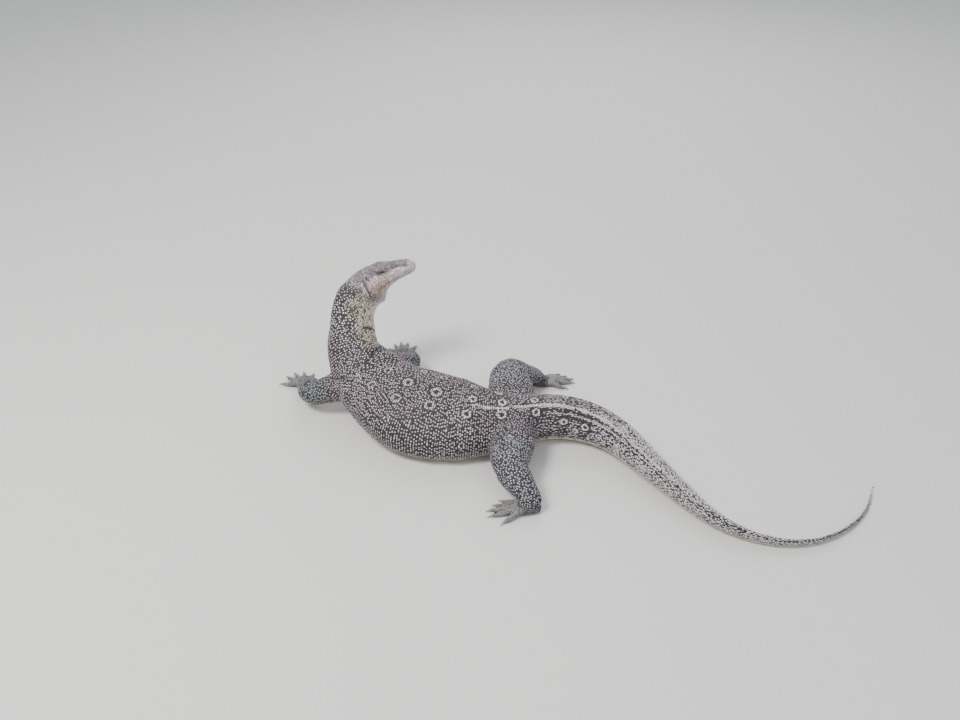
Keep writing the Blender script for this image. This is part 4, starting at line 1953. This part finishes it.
def spaced(places, apart):
    """Marks scales picked in a fixed shuffled order, none nearer than apart to another picked one."""
    tree = KDTree(len(places))
    for i, place in enumerate(places):
        tree.insert(place, i)
    tree.balance()
    picked, taken = np.zeros(len(places), bool), np.zeros(len(places), bool)
    for i in chooser.permutation(len(places)):
        if not taken[i]:
            picked[i] = True
            for _, other, _ in tree.find_range(places[i], apart[i]):
                taken[other] = True
    return picked


# the bright beads stand well apart, so that they read as dots and not as patches
apart = np.where(root_region > BODY, BRIGHT_APART_ON_LEGS, np.interp(root_distance, *BRIGHT_APART))
bright = spaced(root_place, apart)
chance = np.where(bright, 0.80, 0.0) + chooser.random(len(root_place)) * np.where(bright, 0.20, 0.44)
# down the tail it is the other way round: most scales are pale and the picked ones are dark flecks
flecked = (root_kind == KEELED) & (chooser.random(len(root_place)) < smooth_step(root_distance, 0.88, 1.12))
chance = np.where(flecked, np.where(bright, 0.02, 0.60 + 0.3 * chance), chance)
root_ground, root_bead = colours_at(root_place, root_region, root_distance, root_degrees, chance)
root_size[root_place[:, 2] < 0.0016, 2] *= 0.5
print(f"{bright.sum()} of {len(bright)} scales are bright")

# %% Grow each region
COAT = (  # name, kind, region, its start and end or which legs, slot, how far a scale may turn
    ("head_pebbles", PEBBLE, BODY, (-1.0, 9.0), "skin", 0.5),
    ("head_plates", PLATE, BODY, (0.0, 0.15), "skin", 0.03),
    ("neck_beads", BEAD, BODY, (0.0, 0.40), "skin", 0.12),
    ("back_beads", BEAD, BODY, (0.40, 0.54), "skin", 0.12),
    ("loin_beads", BEAD, BODY, (0.54, 0.68), "skin", 0.12),
    ("hip_beads", BEAD, BODY, (0.68, 9.0), "skin", 0.12),
    ("belly_plates", PLATE, BODY, (0.15, 0.62), "pale_skin", 0.03),
    ("under_tail_plates", PLATE, BODY, (0.62, 9.0), "pale_skin", 0.03),
    ("tail_plates", KEELED, BODY, (-1.0, 9.0), "skin", 0.05),
    ("foreleg_beads", BEAD, LEG, "fore", "skin", 0.12),
    ("hindleg_beads", BEAD, LEG, "hind", "skin", 0.12),
    ("forefoot_beads", BEAD, FOOT, "fore", "foot_skin", 0.12),
    ("hindfoot_beads", BEAD, FOOT, "hind", "foot_skin", 0.12),
    ("foretoe_plates", PLATE, FOOT, "fore", "foot_skin", 0.04),
    ("hindtoe_plates", PLATE, FOOT, "hind", "foot_skin", 0.04),
)
PATCH = 0.003  # how large a scale is in the flat map


def roots_in(kind, region, span):
    """The roots of one kind between two distances on the body, or on the legs at one end of it."""
    mask = (root_kind == kind) & (root_region == region)
    if region == BODY:
        mask &= (root_distance >= span[0]) & (root_distance < span[1])
    else:
        mask &= (root_place[:, 0] < 0.05) == (span == "fore")
    return np.flatnonzero(mask)


def unrolled(chosen, region):
    """A flat place from 0 to 1 for each root: distance and angle, or a foot seen from above or below."""
    if region == FOOT:
        flat = root_place[chosen][:, :2]
        low, high = flat.min(0), flat.max(0)
        spread = (flat - low) / (high - low)
        half = (root_out[chosen][:, 2] < 0.15) * 0.5
        return np.column_stack([0.01 + 0.98 * spread[:, 0], half + 0.01 + 0.48 * spread[:, 1]])
    at = root_distance[chosen]
    u = (at - at.min()) / max(at.max() - at.min(), 1e-6)
    return np.column_stack([0.01 + 0.98 * u, 0.01 + 0.98 * (root_degrees[chosen] + 180) / 360])


def grow(name, chosen, kind, region, slot, turn):
    """One piece of the coat from the chosen roots."""
    cloud = bpy.data.meshes.new(name)
    cloud.vertices.add(len(chosen))
    cloud.vertices.foreach_set("co", root_place[chosen].ravel())
    flat = np.column_stack([unrolled(chosen, region), np.zeros(len(chosen))])
    for word, values in (("out", root_out[chosen]), ("way", root_way[chosen]), ("spread", root_size[chosen]),
                         ("root_flat", flat)):
        add_attribute(cloud, word, "FLOAT_VECTOR", values)
    add_colours(cloud, "ground", root_ground[chosen])
    add_colours(cloud, "bead", root_bead[chosen])
    piece = new_piece(name, cloud)
    nodes = piece.modifiers.new("lay", "NODES")
    nodes.node_group = lay_scales
    sockets = {s.name: s.identifier for s in lay_scales.interface.items_tree if s.in_out == "INPUT"}
    for word, value in (("Scale shape", shapes[kind]), ("Turn", turn), ("Finish", finishes[kind])):
        nodes[sockets[word]] = value
    real = bake_modifiers(piece)
    real.name = name
    set_points(real, press(mesh_points(real), 0.0001))
    mark, patch = (read_array(real.attributes[word].data, "vector", 3) for word in ("root_flat", "patch"))
    flat = mark[:, :2] + patch[:, :2] * PATCH
    corners = read_array(real.loops, "vertex_index", 1, np.int64)[:, 0]
    real.uv_layers.new(name="OFBake").data.foreach_set("uv", flat[corners].ravel())
    for word in ("root_flat", "patch", "out", "way", "spread"):
        if word in real.attributes:
            real.attributes.remove(real.attributes[word])
    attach(piece, "root")
    count = sum(len(face.vertices) - 2 for face in real.polygons)
    print(f"{name}: {len(chosen)} scales, {count} triangles")
    return count


total = sum(grow(name, roots_in(kind, region, span), kind, region, slot, turn)
            for name, kind, region, span, slot, turn in COAT)
for shape in shapes.values():
    bpy.data.objects.remove(shape)
print("triangles in the coat", total)
clock("scales grown")

# %% [markdown]
# ## Tie the pieces to the model
# The skin stands for all the flesh of the CAD model. The solids stay in the physical model for
# contact, and only their look is replaced. The last lines write down the size of the model before
# and after, so that the two can be compared.

# %% Finish
flesh = [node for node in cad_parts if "claw" not in node and not node.startswith("eye")]
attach(skin, "root")
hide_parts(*flesh)
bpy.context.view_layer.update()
clock("whole scene")
